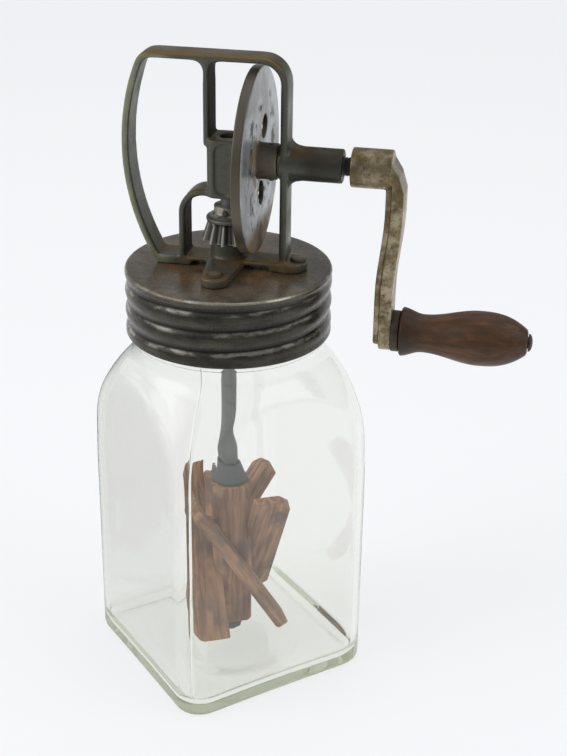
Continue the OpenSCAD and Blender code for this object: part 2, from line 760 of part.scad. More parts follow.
module drive_gear() {
    root_in_x = gear_root_x * gear_toe_r / gear_pitch_r;
    rim_root_x = gear_root_x * gear_rim_in_r / gear_pitch_r;
    color(worn_iron) translate([0, 0, crank_z]) {
        difference() {
            union() {
                rotate([0, 90, 0]) rotate_extrude($fn = fine) {
                    translate([0, gear_inner_x]) square([gear_toe_r + bond, gear_front_x - gear_inner_x]);
                    translate([gear_rim_in_r, gear_back_x])
                        square([gear_rim_t, gear_front_x - gear_back_x]);
                    polygon([[gear_toe_r, root_in_x], [gear_rim_in_r + bond, rim_root_x],
                        [gear_rim_in_r + bond, gear_front_x], [gear_toe_r, gear_front_x]]);
                }
                bar_x(gear_hub_r, block_x + end_play, gear_hub_x - block_x - end_play, 0);
            }
            rotate([0, 90, 0]) rotate_extrude($fn = fine)
                polygon([[gear_hub_r, gear_front_x - gear_dish], [gear_rim_in_r, gear_front_x],
                    [gear_rim_in_r, gear_front_x + over], [gear_hub_r, gear_front_x + over]]);
            bar_x(crank_shaft_r + seat_room, 0, gear_hub_x + over, 0);
            translate([gear_pin_x, 0, -gear_hub_r - over])
                cylinder(d = pin_hole_d, h = 2 * (gear_hub_r + over));
            for (k = [0 : gear_holes - 1]) rotate([gear_hole_turn + 360 * k / gear_holes, 0, 0])
                translate([0, gear_hole_at, 0]) bar_x(gear_hole_d / 2, 0, gear_front_x + over, 0);
        }
        for (k = [0 : gear_teeth - 1]) rotate([360 * (k + 0.5) / gear_teeth, 0, 0])
            bevel_tooth(gear_back_x, tooth_half - gear_rise * flank, gear_root_x + bond,
                tooth_half + (gear_drop + bond) * flank, gear_rim_in_r + bond, gear_toe_r);
    }
}

module gear_pin() {
    color(steel) translate([gear_pin_x, 0, crank_z - gear_hub_r - pin_out])
        cylinder(d = pin_d, h = 2 * gear_hub_r + pin_out);
}

module crank_shaft() {
    groove_x = bearing_end_x + groove_pitch;
    grooves = floor((crank_hub_x - groove_x) / groove_pitch);
    reach = groove_depth + over;
    color(steel) difference() {
        bar_x(crank_shaft_r, shaft_in_x, crank_shaft_end_x - shaft_in_x, crank_z);
        translate([gear_pin_x, 0, crank_z - gear_hub_r]) cylinder(d = pin_hole_d, h = 2 * gear_hub_r);
        for (k = [0 : grooves])
            translate([groove_x + groove_pitch * k, 0, crank_z]) rotate([0, 90, 0]) rotate_extrude()
                polygon([[crank_shaft_r - groove_depth, 0],
                    [crank_shaft_r + over, -reach], [crank_shaft_r + over, reach]]);
    }
}

// Inward shift of the arm at the depth d below the shaft
function arm_shift(d) =
    ease(0, -arm_lean, max(0, min(1, (d - arm_bend) / (crank_throw - 2 * arm_bend))));

// Flat side view of one layer of the arm, from its back to its front, under the outline of its top
module arm_side(back, front, top) {
    foot = crank_throw + arm_end_r;
    run = [for (k = [0 : arm_steps]) arm_bend + (crank_throw - 2 * arm_bend) * k / arm_steps];
    polygon(concat(top, [for (d = run) [arm_x + front + arm_shift(d), -d]],
        [[arm_foot_x + front, -foot], [arm_foot_x + back, -foot]],
        [for (k = [arm_steps : -1 : 0]) [arm_x + back + arm_shift(run[k]), -run[k]]]));
}

// Plate of the arm's side view, w wide, with a round lower end
module arm_plate(back, front, w, top) {
    intersection() {
        translate([0, w / 2, 0]) rotate([90, 0, 0]) linear_extrude(w) arm_side(back, front, top);
        rotate([90, 0, 90]) linear_extrude(crank_hub_end_x + arm_over + over) {
            translate([0, -crank_throw]) circle(w / 2 + arm_end_out);
            translate([-w / 2, -crank_throw]) square([w, crank_throw + crank_hub_r]);
        }
    }
}

module crank_arm() {
    color(plating) translate([0, 0, crank_z]) difference() {
        union() {
            bar_x(crank_hub_r, crank_hub_x, crank_hub_len, 0);
            arm_plate(arm_ridge - bond, arm_t, arm_w, [[arm_x + arm_ridge - bond, 0],
                [crank_hub_end_x - bond, arm_brow_z], [crank_hub_end_x, arm_brow_z],
                [arm_knee_x, arm_knee_z], [arm_x + arm_t, -crank_hub_r]]);
            arm_plate(0, arm_ridge, arm_w - 2 * arm_ridge_in, [[arm_x, 0], [arm_x + arm_ridge, 0]]);
        }
        bar_x(crank_shaft_r + seat_room, crank_hub_x - over,
            crank_shaft_end_x + bore_room - crank_hub_x + over, 0);
        bar_x(spindle_r + seat_room, arm_foot_x - over, arm_t + 2 * over, -crank_throw);
    }
}

module handle_collar() {
    color(steel) difference() {
        bar_x(collar_r, collar_x, collar_t, handle_z);
        bar_x(spindle_r + seat_room, collar_x - over, collar_t + 2 * over, handle_z);
    }
}

// Smooth step from a to b as t goes from 0 to 1
function ease(a, b, t) = a + (b - a) * (1 - cos(180 * t)) / 2;

// Radius of the turned grip at the distance x from its flange
function grip_r(x) =
    let (rise = (x - grip_waist_at) / (grip_belly_at - grip_waist_at),
         fall = (x - grip_belly_at) / (grip_len - grip_belly_at))
    x < grip_waist_at ? ease(grip_flange_r, grip_waist_r, x / grip_waist_at)
    : x < grip_belly_at ? ease(grip_waist_r, grip_belly_r, rise)
    : grip_belly_r - (grip_belly_r - grip_end_r) * pow(fall, grip_full);

module handle_grip() {
    run = grip_len - grip_edge;
    outline = [[0, 0], [grip_flange_r - grip_edge, 0],
        for (k = [0 : grip_steps]) let (x = grip_edge + run * sin(90 * k / grip_steps)) [grip_r(x), x],
        [0, grip_len]];
    color(grip_wood) translate([grip_x, 0, handle_z]) rotate([0, 90, 0]) difference() {
        rotate_extrude($fn = fine) polygon(outline);
        translate([0, 0, -over]) cylinder(r = spindle_r + run_room, h = grip_len + 2 * over);
    }
}

module handle_spindle() {
    ball = (pow(dome_d / 2, 2) + pow(dome_h, 2)) / (2 * dome_h);
    color(steel) translate([0, 0, handle_z]) {
        bar_x(spindle_r, arm_foot_x, dome_x - arm_foot_x + bond, 0);
        translate([dome_x, 0, 0]) rotate([0, 90, 0]) intersection() {
            cylinder(d = dome_d, h = dome_h);
            translate([0, 0, dome_h - ball]) sphere(ball);
        }
    }
}

module pinion() {
    root = pinion_pitch_r - pinion_drop;
    color(iron) translate([0, 0, crank_z]) {
        difference() {
            union() {
                translate([0, 0, -gear_pitch_r]) cylinder(r1 = root, r2 = root * toe, h = tooth_len);
                translate([0, 0, -gear_pitch_r * toe]) {
                    cylinder(r = pinion_flange_r, h = pinion_flange);
                    translate([0, 0, pinion_flange])
                        cylinder(r1 = pinion_flange_r, r2 = pinion_hub_r, h = pinion_cone);
                    cylinder(r = pinion_hub_r, h = pinion_hub_len);
                }
            }
            translate([0, 0, -gear_pitch_r - over])
                cylinder(r = dasher_shaft_r + seat_room, h = tooth_len + pinion_hub_len + 2 * over);
            translate([0, -pinion_hub_r - over, pinion_pin_z - crank_z]) rotate([-90, 0, 0])
                cylinder(d = pin_hole_d, h = 2 * (pinion_hub_r + over));
        }
        for (k = [0 : pinion_teeth - 1]) rotate([0, 0, 360 * k / pinion_teeth])
            bevel_tooth(pinion_pitch_r + pinion_rise, tooth_half - pinion_rise * flank, root - bond,
                tooth_half + (pinion_drop + bond) * flank, gear_pitch_r, gear_pitch_r * toe - bond);
    }
}

module pinion_pin() {
    color(worn_iron) translate([0, -pinion_hub_r - pin_out, pinion_pin_z]) rotate([-90, 0, 0])
        cylinder(d = pin_d, h = 2 * (pinion_hub_r + pin_out));
}

module dasher_shaft() {
    color(steel) difference() {
        translate([0, 0, shaft_foot_z]) cylinder(r = dasher_shaft_r, h = dasher_top_z - shaft_foot_z);
        translate([0, -dasher_shaft_r - over, pinion_pin_z]) rotate([-90, 0, 0])
            cylinder(d = pin_hole_d, h = dasher_shaft_d + 2 * over);
    }
}

// Hole for the dasher shaft through a piece between two heights
module shaft_hole(from, to) {
    translate([0, 0, from - over]) cylinder(r = dasher_shaft_r + seat_room, h = to - from + 2 * over);
}

module paddle_socket() {
    color(steel) difference() {
        translate([0, 0, hub_top_z]) {
            cylinder(r = socket_r, h = socket_rim);
            translate([0, 0, socket_rim])
                cylinder(r1 = socket_r, r2 = socket_top_r, h = socket_h - socket_rim);
        }
        shaft_hole(hub_top_z, hub_top_z + socket_h);
    }
}

// Solid of the blade on the front of the hub, or of its slot when room is added all round
module blade(room) {
    half = blade_len / 2;
    out = -blade_reach;
    translate([0, 0, blade_z]) rotate([0, -blade_slant, 0])
        translate([-blade_t / 2 - room, 0, 0]) rotate([90, 0, 90]) linear_extrude(blade_t + 2 * room)
            polygon([[-blade_root + room, -half], [-blade_root + room, half], [out + blade_cut, half],
                [out, half - blade_cut], [out, blade_cut - half], [out + blade_cut, -half]]);
}

module paddle_hub() {
    side = hub_side / 2;
    in = side - hub_chamfer;
    color(paddle_wood) rotate([0, 0, paddle_turn]) difference() {
        translate([0, 0, hub_z]) linear_extrude(hub_h)
            polygon([[side, -in], [side, in], [in, side], [-in, side],
                [-side, in], [-side, -in], [-in, -side], [in, -side]]);
        shaft_hole(hub_z, hub_top_z);
        for (k = [0 : 3]) rotate([0, 0, 90 * k]) blade(seat_room);
    }
}

// Blade number k, counted round the hub from the front
module paddle_blade(k) {
    color(paddle_wood) rotate([0, 0, paddle_turn + 90 * (k - 1)]) blade(0);
}

module paddle_washer() {
    color(steel) difference() {
        translate([0, 0, washer_z]) cylinder(r = washer_r, h = washer_t);
        shaft_hole(washer_z, hub_z);
    }
}

module paddle_nut() {
    color(steel) difference() {
        translate([0, 0, nut_z]) cylinder(d = nut_w, h = nut_t, $fn = 6);
        shaft_hole(nut_z, washer_z);
    }
}

glass_jar();
lid_seal_ring();
lid_cap();
frame_casting();
frame_rivets();
drive_gear();
gear_pin();
crank_shaft();
crank_arm();
handle_collar();
handle_grip();
handle_spindle();
pinion();
pinion_pin();
dasher_shaft();
paddle_socket();
paddle_hub();
paddle_blade(1);  // paddle_blade_1
paddle_blade(2);  // paddle_blade_2
paddle_blade(3);  // paddle_blade_3
paddle_blade(4);  // paddle_blade_4
paddle_washer();
paddle_nut();
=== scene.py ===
import math

import bpy
from mathutils import Matrix, Vector, noise


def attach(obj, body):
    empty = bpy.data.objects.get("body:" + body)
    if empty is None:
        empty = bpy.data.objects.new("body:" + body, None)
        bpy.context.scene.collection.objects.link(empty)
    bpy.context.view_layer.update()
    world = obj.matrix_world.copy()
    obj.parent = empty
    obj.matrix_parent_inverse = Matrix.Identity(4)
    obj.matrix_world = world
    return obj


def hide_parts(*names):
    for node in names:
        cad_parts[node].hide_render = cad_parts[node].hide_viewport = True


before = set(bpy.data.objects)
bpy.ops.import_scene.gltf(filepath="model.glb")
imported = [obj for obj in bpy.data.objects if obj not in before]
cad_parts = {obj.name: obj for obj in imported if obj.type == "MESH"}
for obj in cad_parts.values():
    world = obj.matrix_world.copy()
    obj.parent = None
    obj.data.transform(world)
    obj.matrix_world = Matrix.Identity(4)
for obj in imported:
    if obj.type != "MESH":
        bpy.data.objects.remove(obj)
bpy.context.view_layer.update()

# Camera
# It stands to the right of the front and above the lid, with a short telephoto lens, as a
# photographer would stand at a table. Angles in degrees, lengths in millimetres.
MM = 0.001
CAMERA_PLACE = Vector((161.098, -687.244, 505.944)) * MM
CAMERA_AZIMUTH = math.radians(10.849)
CAMERA_HEIGHT = math.radians(25.663)
CAMERA_ROLL = math.radians(0.860)
SENSOR = 36.0
FOCAL_PIXELS = 1479.61
PICTURE_HEIGHT = 756
LENS = FOCAL_PIXELS / PICTURE_HEIGHT * SENSOR

back = Vector((math.sin(CAMERA_AZIMUTH) * math.cos(CAMERA_HEIGHT),
               -math.cos(CAMERA_AZIMUTH) * math.cos(CAMERA_HEIGHT),
               math.sin(CAMERA_HEIGHT)))
level = Vector((0, 0, 1)).cross(back).normalized()
upward = back.cross(level)
right = level * math.cos(CAMERA_ROLL) + upward * math.sin(CAMERA_ROLL)
upward = upward * math.cos(CAMERA_ROLL) - level * math.sin(CAMERA_ROLL)

lens = bpy.data.cameras.new("camera")
lens.sensor_width = SENSOR
lens.lens = LENS
lens.clip_start = 0.01
camera = bpy.data.objects.new("camera", lens)
camera.matrix_world = Matrix.Translation(CAMERA_PLACE) @ Matrix((right, upward, back)).transposed().to_4x4()
bpy.context.scene.collection.objects.link(camera)
bpy.context.scene.camera = camera
bpy.context.scene.view_settings.view_transform = "Standard"

# Studio
# A wide white table in a soft white room, with a big window on the left and smaller ones on the
# right and above. Shiny things reflect a table that is dimmer in front and ends on the left.
FLOOR_SIDE = 12.0
TABLE_DROP = 0.05 * MM
WHITE = "f9fafc"
TABLE_WHITE = "f2f3f4"
ROOM_LIGHT = 0.44
ROOM_DARK = 0.12
FLOOR_GLOW = 0.72
FLOOR_FADE = (1.4, 4.0)
FLOOR_DIM = 0.03
FLOOR_SPAN = (-0.24, 0.04)
FLOOR_BRIGHT = 0.85
FRONT_DIM = 0.6
FRONT_SPAN = (-0.50, -0.25)
ROOM_WAY = (-0.35, 0.55, 0.75)
ROOM_SPAN = (-0.7, 0.6)
PANE_SPAN = (math.cos(math.radians(28)), math.cos(math.radians(12)))
GLASS_TURNS = 4.5
AIM = Vector((0, 0, 0.17))
SMOOTH = {"interpolation_type": "SMOOTHSTEP"}
WINDOWS = (("window_left", (-1.15, -0.68, 0.98), 0.9, 10.0, "fffdf8", 1.9),
           ("window_right", (1.18, -0.17, 1.07), 0.7, 3.4, "f4f8ff", 1.2),
           ("window_top", (0.10, 0.35, 1.60), 1.1, 3.6, "fbfdff", 0.5))


def linear(code):
    """Linear colour of an sRGB hex value."""
    parts = [int(code[k:k + 2], 16) / 255 for k in (0, 2, 4)]
    return [c / 12.92 if c <= 0.04045 else ((c + 0.055) / 1.055) ** 2.4 for c in parts] + [1.0]


def node(tree, kind, *values, **settings):
    """Adds a node with its settings, and sets or links its inputs: values in order, or a dict by name
    or number. A hex value becomes a linear colour."""
    made = tree.nodes.new("ShaderNode" + kind)
    for name, value in settings.items():
        setattr(made, name, value)
    by_name = bool(values) and isinstance(values[0], dict)
    for socket, value in (values[0] if by_name else dict(enumerate(values))).items():
        if isinstance(value, bpy.types.NodeSocket):
            tree.links.new(value, made.inputs[socket])
        else:
            made.inputs[socket].default_value = linear(value) if isinstance(value, str) else value
    return made


def new_material(name):
    """An empty material and its tree."""
    material = bpy.data.materials.new(name)
    material.use_nodes = True
    material.node_tree.nodes.clear()
    return material, material.node_tree


def narrowed(tree, share, value, low, high, bottom=0.0, top=1.0):
    """A share times a smooth step, which is bottom where a value is at low and top where it is at high."""
    step = node(tree, "MapRange", value, low, high, bottom, top, **SMOOTH).outputs[0]
    return node(tree, "Math", share, step, operation="MULTIPLY").outputs[0]


def turned_deep(tree, rays):
    """1 for light that has met more surfaces than it takes to look through the jar."""
    return node(tree, "Math", rays["Ray Depth"], GLASS_TURNS, operation="GREATER_THAN").outputs[0]


def seen_plainly(tree, rays):
    """1 for what the eye sees straight or through glass, 0 for other light."""
    seen = node(tree, "Math", rays["Is Camera Ray"], rays["Is Transmission Ray"],
                operation="MAXIMUM").outputs[0]
    return node(tree, "Math", seen, turned_deep(tree, rays), operation="MAXIMUM").outputs[0]


bpy.ops.object.select_all(action="DESELECT")
bpy.ops.mesh.primitive_plane_add(size=FLOOR_SIDE)
table = bpy.context.object
table.name = "table"
table.location.z = -TABLE_DROP

# White laminate: matt, it keeps a soft shadow, and the eye sees it as the bright paper of a studio.
laminate, tree = new_material("white_laminate")
rays = node(tree, "LightPath").outputs
where = node(tree, "TexCoord").outputs
seen = seen_plainly(tree, rays)
away = node(tree, "VectorMath", where["Object"], operation="LENGTH").outputs["Value"]
share = narrowed(tree, seen, away, *FLOOR_FADE, FLOOR_GLOW, 1.0)
bounced = node(tree, "Math", rays["Is Glossy Ray"], seen, operation="GREATER_THAN").outputs[0]
mirrored = node(tree, "Math", rays["Is Singular Ray"], bounced, operation="MULTIPLY").outputs[0]
share = node(tree, "Math", share, bounced, operation="MAXIMUM").outputs[0]
place = node(tree, "SeparateXYZ", where["Object"]).outputs
side = node(tree, "MapRange", place["X"], *FLOOR_SPAN, FLOOR_DIM, FLOOR_BRIGHT, **SMOOTH).outputs[0]
front = node(tree, "MapRange", place["Y"], *FRONT_SPAN, FRONT_DIM, 1.0, **SMOOTH).outputs[0]
ahead = node(tree, "Mix", {0: bounced, 2: 1.0, 3: front}).outputs[0]
aside = node(tree, "Mix", {0: mirrored, 2: 1.0, 3: side}).outputs[0]
matt = node(tree, "BsdfDiffuse", {"Color": TABLE_WHITE})
strength = node(tree, "Math", ahead, aside, operation="MULTIPLY").outputs[0]
glow = node(tree, "Emission", {"Color": WHITE, "Strength": strength})
mixed = node(tree, "MixShader", share, matt.outputs[0], glow.outputs[0])
node(tree, "OutputMaterial", mixed.outputs[0])
table.data.materials.append(laminate)

room = bpy.data.worlds.new("room")
room.use_nodes = True
bpy.context.scene.world = room
tree = room.node_tree
tree.nodes.clear()
rays = node(tree, "LightPath").outputs
way = node(tree, "TexCoord").outputs["Generated"]
facing = node(tree, "VectorMath", way, ROOM_WAY, operation="DOT_PRODUCT").outputs["Value"]
shine = node(tree, "MapRange", facing, *ROOM_SPAN, ROOM_DARK, ROOM_LIGHT, **SMOOTH).outputs[0]
for name, place, size, power, tint, pane_light in WINDOWS:
    towards = (Vector(place) - AIM).normalized()
    facing = node(tree, "VectorMath", way, towards, operation="DOT_PRODUCT")
    pane = node(tree, "MapRange", facing.outputs["Value"], *PANE_SPAN, 0.0, pane_light, **SMOOTH).outputs[0]
    shine = node(tree, "Math", shine, pane, operation="ADD").outputs[0]
    lamp = bpy.data.lights.new(name, "AREA")
    lamp.size = size
    lamp.energy = power
    lamp.color = linear(tint)[:3]
    window = bpy.data.objects.new(name, lamp)
    window.location = place
    window.rotation_euler = (AIM - Vector(place)).to_track_quat("-Z", "Y").to_euler()
    window.visible_glossy = False
    window.visible_transmission = False
    bpy.context.scene.collection.objects.link(window)
soft = node(tree, "Background", {"Color": "f6f9ff", "Strength": shine})
plain = node(tree, "Background", {"Color": WHITE, "Strength": 1.0})
seen = seen_plainly(tree, rays)
mixed = node(tree, "MixShader", seen, soft.outputs[0], plain.outputs[0])
node(tree, "OutputWorld", mixed.outputs[0])

# Glass jar
# Pressed soda-lime glass: a square body with round corners that draws in over a domed shoulder to
# a round screw neck. The lid is screwed on the neck, and the jar stands on its flat foot.
JAR_HALF = 57.0
JAR_CORNER = 13.8
JAR_WALL = 3.5
JAR_FLOOR = 4.5
JAR_FOOT = 5.0
JAR_TOP = 228.5
JAR_TURN = math.radians(42.6)
JAR_REACH = JAR_HALF * math.sqrt(2) - JAR_CORNER * (math.sqrt(2) - 1)
SHOULDER_Z = JAR_TOP - 102.0
SHOULDER_BALL = 75.93
SHOULDER_SPLAY = 0.35
BLEND = 1.6
NECK_R = 49.3
NECK_WALL = 4.0
NECK_HOLLOW = 12.0
NECK_BEAD = 1.2
NECK_BEAD_Z = 194.3
NECK_BEAD_SHARE = 0.8
THREAD_PITCH = 10.6
THREAD_RISE = 2.2
THREAD_HALF = 2.3
THREAD_TIP = 0.92
THREAD_TURNS = 1.6
THREAD_FADE = 3
THREAD_LOW = 202.8
LID_TOP = JAR_TOP + 3.0
LID_FOOT = LID_TOP - 34.8
RIM_EASE = 1.6
FLOOR_SWELL = 2.0
FLOOR_SWELL_R = (33.0, 42.0)
SEAM_HALF = 0.45
RIPPLE = 0.08
RIPPLE_LENGTH = 45.0
RIPPLE_FADE = 20.0
RIPPLE_TOP = 190.0
JAR_SIDES = 168


def square_reach(angle, half, corner):
    """Distance from the middle of a round-cornered square to its edge in one direction."""
    turn = abs((angle + math.pi / 4) % (math.pi / 2) - math.pi / 4)
    if half * math.tan(turn) <= half - corner:
        return half / math.cos(turn)
    along = (half - corner) * (math.cos(turn) + math.sin(turn))
    return along + math.sqrt(max(0.0, along ** 2 - 2 * (half - corner) ** 2 + corner ** 2))


def dome_reach(z, ball, hollow, neck):
    """Radius of the shoulder's ball, of the hollow above it and of the neck at one height."""
    side = neck + hollow
    hollow_z = SHOULDER_Z + math.sqrt((ball + hollow) ** 2 - side ** 2)
    meet_z = SHOULDER_Z + (hollow_z - SHOULDER_Z) * ball / (ball + hollow)
    if z >= hollow_z:
        return neck
    if z > meet_z:
        return side - math.sqrt(hollow ** 2 - (hollow_z - z) ** 2)
    if z > SHOULDER_Z:
        return math.sqrt(ball ** 2 - (z - SHOULDER_Z) ** 2)
    return ball + (SHOULDER_Z - z) * SHOULDER_SPLAY


def thread_rise(z, angle):
    """Height of the glass thread above the neck at one place on the neck."""
    best = 0.0
    for turn in range(3):
        along = angle / (2 * math.pi) + turn
        if 0 <= along <= THREAD_TURNS:
            off = abs(z - (THREAD_LOW + THREAD_PITCH * along))
            flank = min(1.0, max(0.0, (THREAD_HALF - off) / (THREAD_HALF - THREAD_TIP)))
            fade = min(1.0, along * THREAD_FADE, (THREAD_TURNS - along) * THREAD_FADE)
            best = max(best, THREAD_RISE * flank * fade)
    return best


def jar_skin(z, angle, inner):
    """Radius of the jar's outer or inner skin at one height and direction."""
    wall = JAR_WALL if inner else 0.0
    reach = square_reach(angle - JAR_TURN, JAR_HALF - wall, JAR_CORNER - wall)
    neck = NECK_R - (NECK_WALL if inner else 0.0)
    dome = dome_reach(z, SHOULDER_BALL - wall, NECK_HOLLOW + wall, neck)
    low = min(reach, dome)
    return low - BLEND * math.log(math.exp((low - reach) / BLEND) + math.exp((low - dome) / BLEND))


def spaced(low, high, count):
    """Evenly spaced numbers from low to high."""
    return [low + (high - low) * k / (count - 1) for k in range(count)]


def quarter(steps):
    """Pairs of sine and cosine over a quarter turn."""
    return [(math.sin(t), math.cos(t)) for t in spaced(0.0, math.pi / 2, steps)]


def floor_swell(r):
    """Height by which the glass floor is thicker in its middle than at its edge."""
    t = min(1.0, max(0.0, (FLOOR_SWELL_R[1] - r) / (FLOOR_SWELL_R[1] - FLOOR_SWELL_R[0])))
    return FLOOR_SWELL * t * t * (3 - 2 * t)


IN_FOOT = JAR_CORNER - JAR_WALL - 0.4
RIM_Z = JAR_TOP - RIM_EASE
BODY = spaced(14, 118, 12) + spaced(121, 193, 58)
# Rings of the jar as (skin, height, drawn-in distance or radius): from the middle of the foot up
# the outside, over the rim, and down the inside to the middle of the floor.
JAR_RINGS = [("flat", 0.0, r) for r in (1.0, 20.0, 40.0)]
JAR_RINGS += [("out", JAR_FOOT * (1 - c), JAR_FOOT * (1 - s)) for s, c in quarter(8)]
JAR_RINGS += [("out", z, 0.0) for z in BODY + spaced(193.5, RIM_Z, 60)]
JAR_RINGS += [("out", RIM_Z + RIM_EASE * s, RIM_EASE * (1 - c)) for s, c in quarter(6)[1:]]
JAR_RINGS += [("in", RIM_Z + RIM_EASE * c, RIM_EASE * (s - 1)) for s, c in quarter(6)]
JAR_RINGS += [("in", z, 0.0) for z in spaced(JAR_TOP - 4, 196, 8) + BODY[::-1][:-1]]
JAR_RINGS += [("in", JAR_FLOOR + IN_FOOT * (1 - s), IN_FOOT * (1 - c)) for s, c in quarter(10)]
JAR_RINGS += [("flat", JAR_FLOOR + floor_swell(r), r) for r in spaced(43.5, 31.5, 13) + [16.0, 1.0]]

# Directions round the jar: even steps, and close ones where the mould's two halves met.
SEAMS = ((JAR_TURN + math.pi * 5 / 4, 0.30), (JAR_TURN + math.pi / 4, 0.04))
SEAM_STEPS = [k * SEAM_HALF / 3 / JAR_REACH for k in range(-3, 4)]
JAR_WAYS = [seam + step for seam, rise in SEAMS for step in SEAM_STEPS]
EVEN_WAYS = JAR_SIDES - len(JAR_WAYS)
JAR_WAYS += [SEAMS[0][0] + math.pi * 2 * (k + 0.5) / EVEN_WAYS for k in range(EVEN_WAYS)]
JAR_WAYS = sorted(way % (2 * math.pi) for way in JAR_WAYS)


def drawn_rings(name, sides, levels, place, joined=False):
    """Draws a skin from a circle: ring after ring is extruded, and each is then set in its place.
    place(level, angle) gives a point in metres. The ends are filled, or joined to each other."""
    bpy.ops.object.select_all(action="DESELECT")
    bpy.ops.mesh.primitive_circle_add(vertices=sides, radius=1)
    piece = bpy.context.object
    piece.name = name
    bpy.ops.object.mode_set(mode="EDIT")
    bpy.ops.mesh.select_all(action="SELECT")
    for _ in range(levels - 1):
        bpy.ops.mesh.extrude_region_move(TRANSFORM_OT_translate={"value": (0, 0, 1)})
    bpy.ops.object.mode_set(mode="OBJECT")
    for vertex in piece.data.vertices:
        angle = math.atan2(vertex.co.y, vertex.co.x) % (2 * math.pi)
        vertex.co = place(round(vertex.co.z), angle)
    bpy.ops.object.mode_set(mode="EDIT")
    bpy.ops.mesh.select_all(action="DESELECT")
    bpy.ops.mesh.select_non_manifold()
    if joined:
        bpy.ops.mesh.bridge_edge_loops()
    else:
        bpy.ops.mesh.fill_holes(sides=0)
    bpy.ops.mesh.select_all(action="SELECT")
    bpy.ops.mesh.normals_make_consistent(inside=False)
    bpy.ops.object.mode_set(mode="OBJECT")
    return piece


def dress(piece, material, body, slot, *nodes):
    """Gives a finished piece its material, its body, and the solids that it stands for; the slot is not used.
    """
    piece.data.materials.clear()
    piece.data.materials.append(material)
    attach(piece, body)
    for solid in nodes:
        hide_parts(solid)


def stained(tree, under, over, value, low, high, most=1.0):
    """One colour over another: none of it where a value is at low, most of it where it is at high."""
    share = node(tree, "MapRange", value, low, high, 0.0, most, **SMOOTH).outputs[0]
    return node(tree, "Mix", {0: share, 6: under, 7: over}, data_type="RGBA").outputs[2]


def jar_place(ring, angle):
    """Point of the jar on one ring."""
    skin, z, inset = JAR_RINGS[ring]
    angle = JAR_WAYS[round(angle / (2 * math.pi) * JAR_SIDES) % JAR_SIDES]
    if skin == "flat":
        return Vector((inset * math.cos(angle), inset * math.sin(angle), z)) * MM
    inner = skin == "in"
    radius = jar_skin(z, angle, inner) - inset
    if z < RIPPLE_TOP:
        spot = Vector((radius * math.cos(angle), radius * math.sin(angle), z)) / RIPPLE_LENGTH
        radius += RIPPLE * (noise.noise(spot) - 1) * min(1.0, z / RIPPLE_FADE)
    if not inner:
        bead = NECK_BEAD ** 2 - (z - NECK_BEAD_Z) ** 2
        radius += max(thread_rise(z, angle), math.sqrt(bead) * NECK_BEAD_SHARE if bead > 0 else 0.0)
        for seam, rise in SEAMS:
            off_seam = abs((angle - seam + math.pi) % (2 * math.pi) - math.pi) * radius
            if off_seam < SEAM_HALF and JAR_FOOT < z < LID_FOOT:
                radius += rise * (1 + math.cos(math.pi * off_seam / SEAM_HALF)) / 2
    return Vector((radius * math.cos(angle), radius * math.sin(angle), z)) * MM


jar = drawn_rings("glass_jar_skin", JAR_SIDES, len(JAR_RINGS), jar_place)
bpy.ops.object.shade_smooth_by_angle(angle=math.radians(50))

# Soda-lime glass, pressed: clear, green-grey where the eye looks along the wall, with a few seeds
# and specks of dirt.
GLASS_IOR = 1.52
GLASS_TINT = "c5c9ac"
GLASS_DENSITY = 14.5
soda_glass, tree = new_material("soda_lime_glass")
where = node(tree, "TexCoord").outputs
seeds = node(tree, "TexNoise",
             {"Vector": where["Object"], "Scale": 1 / (3.5 * MM), "Detail": 1.0, "Roughness": 0.5}).outputs[0]
ground = stained(tree, "fbfbfa", "8a8672", seeds, 0.80, 0.86, 0.6)
clear = node(tree, "BsdfPrincipled",
             {"Base Color": ground, "Roughness": 0.0, "IOR": GLASS_IOR, "Transmission Weight": 1.0})
through = node(tree, "BsdfTransparent", {"Color": "f1f4ee"})
rays = node(tree, "LightPath").outputs
straight = node(tree, "Math", rays["Is Shadow Ray"], turned_deep(tree, rays), operation="MAXIMUM").outputs[0]
mixed = node(tree, "MixShader", straight, clear.outputs[0], through.outputs[0])
tint = node(tree, "VolumeAbsorption", {"Color": GLASS_TINT, "Density": GLASS_DENSITY})
node(tree, "OutputMaterial", {"Surface": mixed.outputs[0], "Volume": tint.outputs[0]})
dress(jar, soda_glass, "jar", "jar_glass", "glass_jar")

# Sealing ring
# A flat moulded ring of red rubber that lies loose on the jar's rim. The lid presses it when it is
# screwed home.
SEAL_LOW = JAR_TOP + 0.3
SEAL_HIGH = SEAL_LOW + 1.6
SEAL_IN = NECK_R - NECK_WALL
SEAL_OUT = NECK_R - 0.4
SEAL_EASE = 0.5


def rounded(points, radius, steps=3):
    """Corners of a line of points, each eased with a small bow; the two ends stay sharp."""
    line = [Vector(p) for p in points]
    made = [line[0]]
    for a, b, c in zip(line, line[1:], line[2:]):
        r = min(radius, (a - b).length / 2, (c - b).length / 2)
        p, q = b + (a - b).normalized() * r, b + (c - b).normalized() * r
        for t in spaced(0.0, 1.0, steps + 1):
            made.append(p * (1 - t) ** 2 + b * 2 * t * (1 - t) + q * t ** 2)
    return made + [line[-1]]


def about_z(profile):
    """Place on a piece turned about the upright axis; the profile's points are (radius, height)."""
    return lambda ring, angle: Vector((profile[ring][0] * math.cos(angle), profile[ring][0] * math.sin(angle),
                                       profile[ring][1])) * MM


def turned_ring(name, corners, ease, place, sides=64):
    """A ring turned from the outline between its corners, with eased edges."""
    middle = [(Vector(corners[0]) + Vector(corners[-1])) / 2]
    outline = rounded(middle + [Vector(c) for c in corners] + middle, ease)[:-1]
    piece = drawn_rings(name, sides, len(outline), place(outline), joined=True)
    bpy.ops.object.shade_smooth_by_angle(angle=math.radians(40))
    return piece


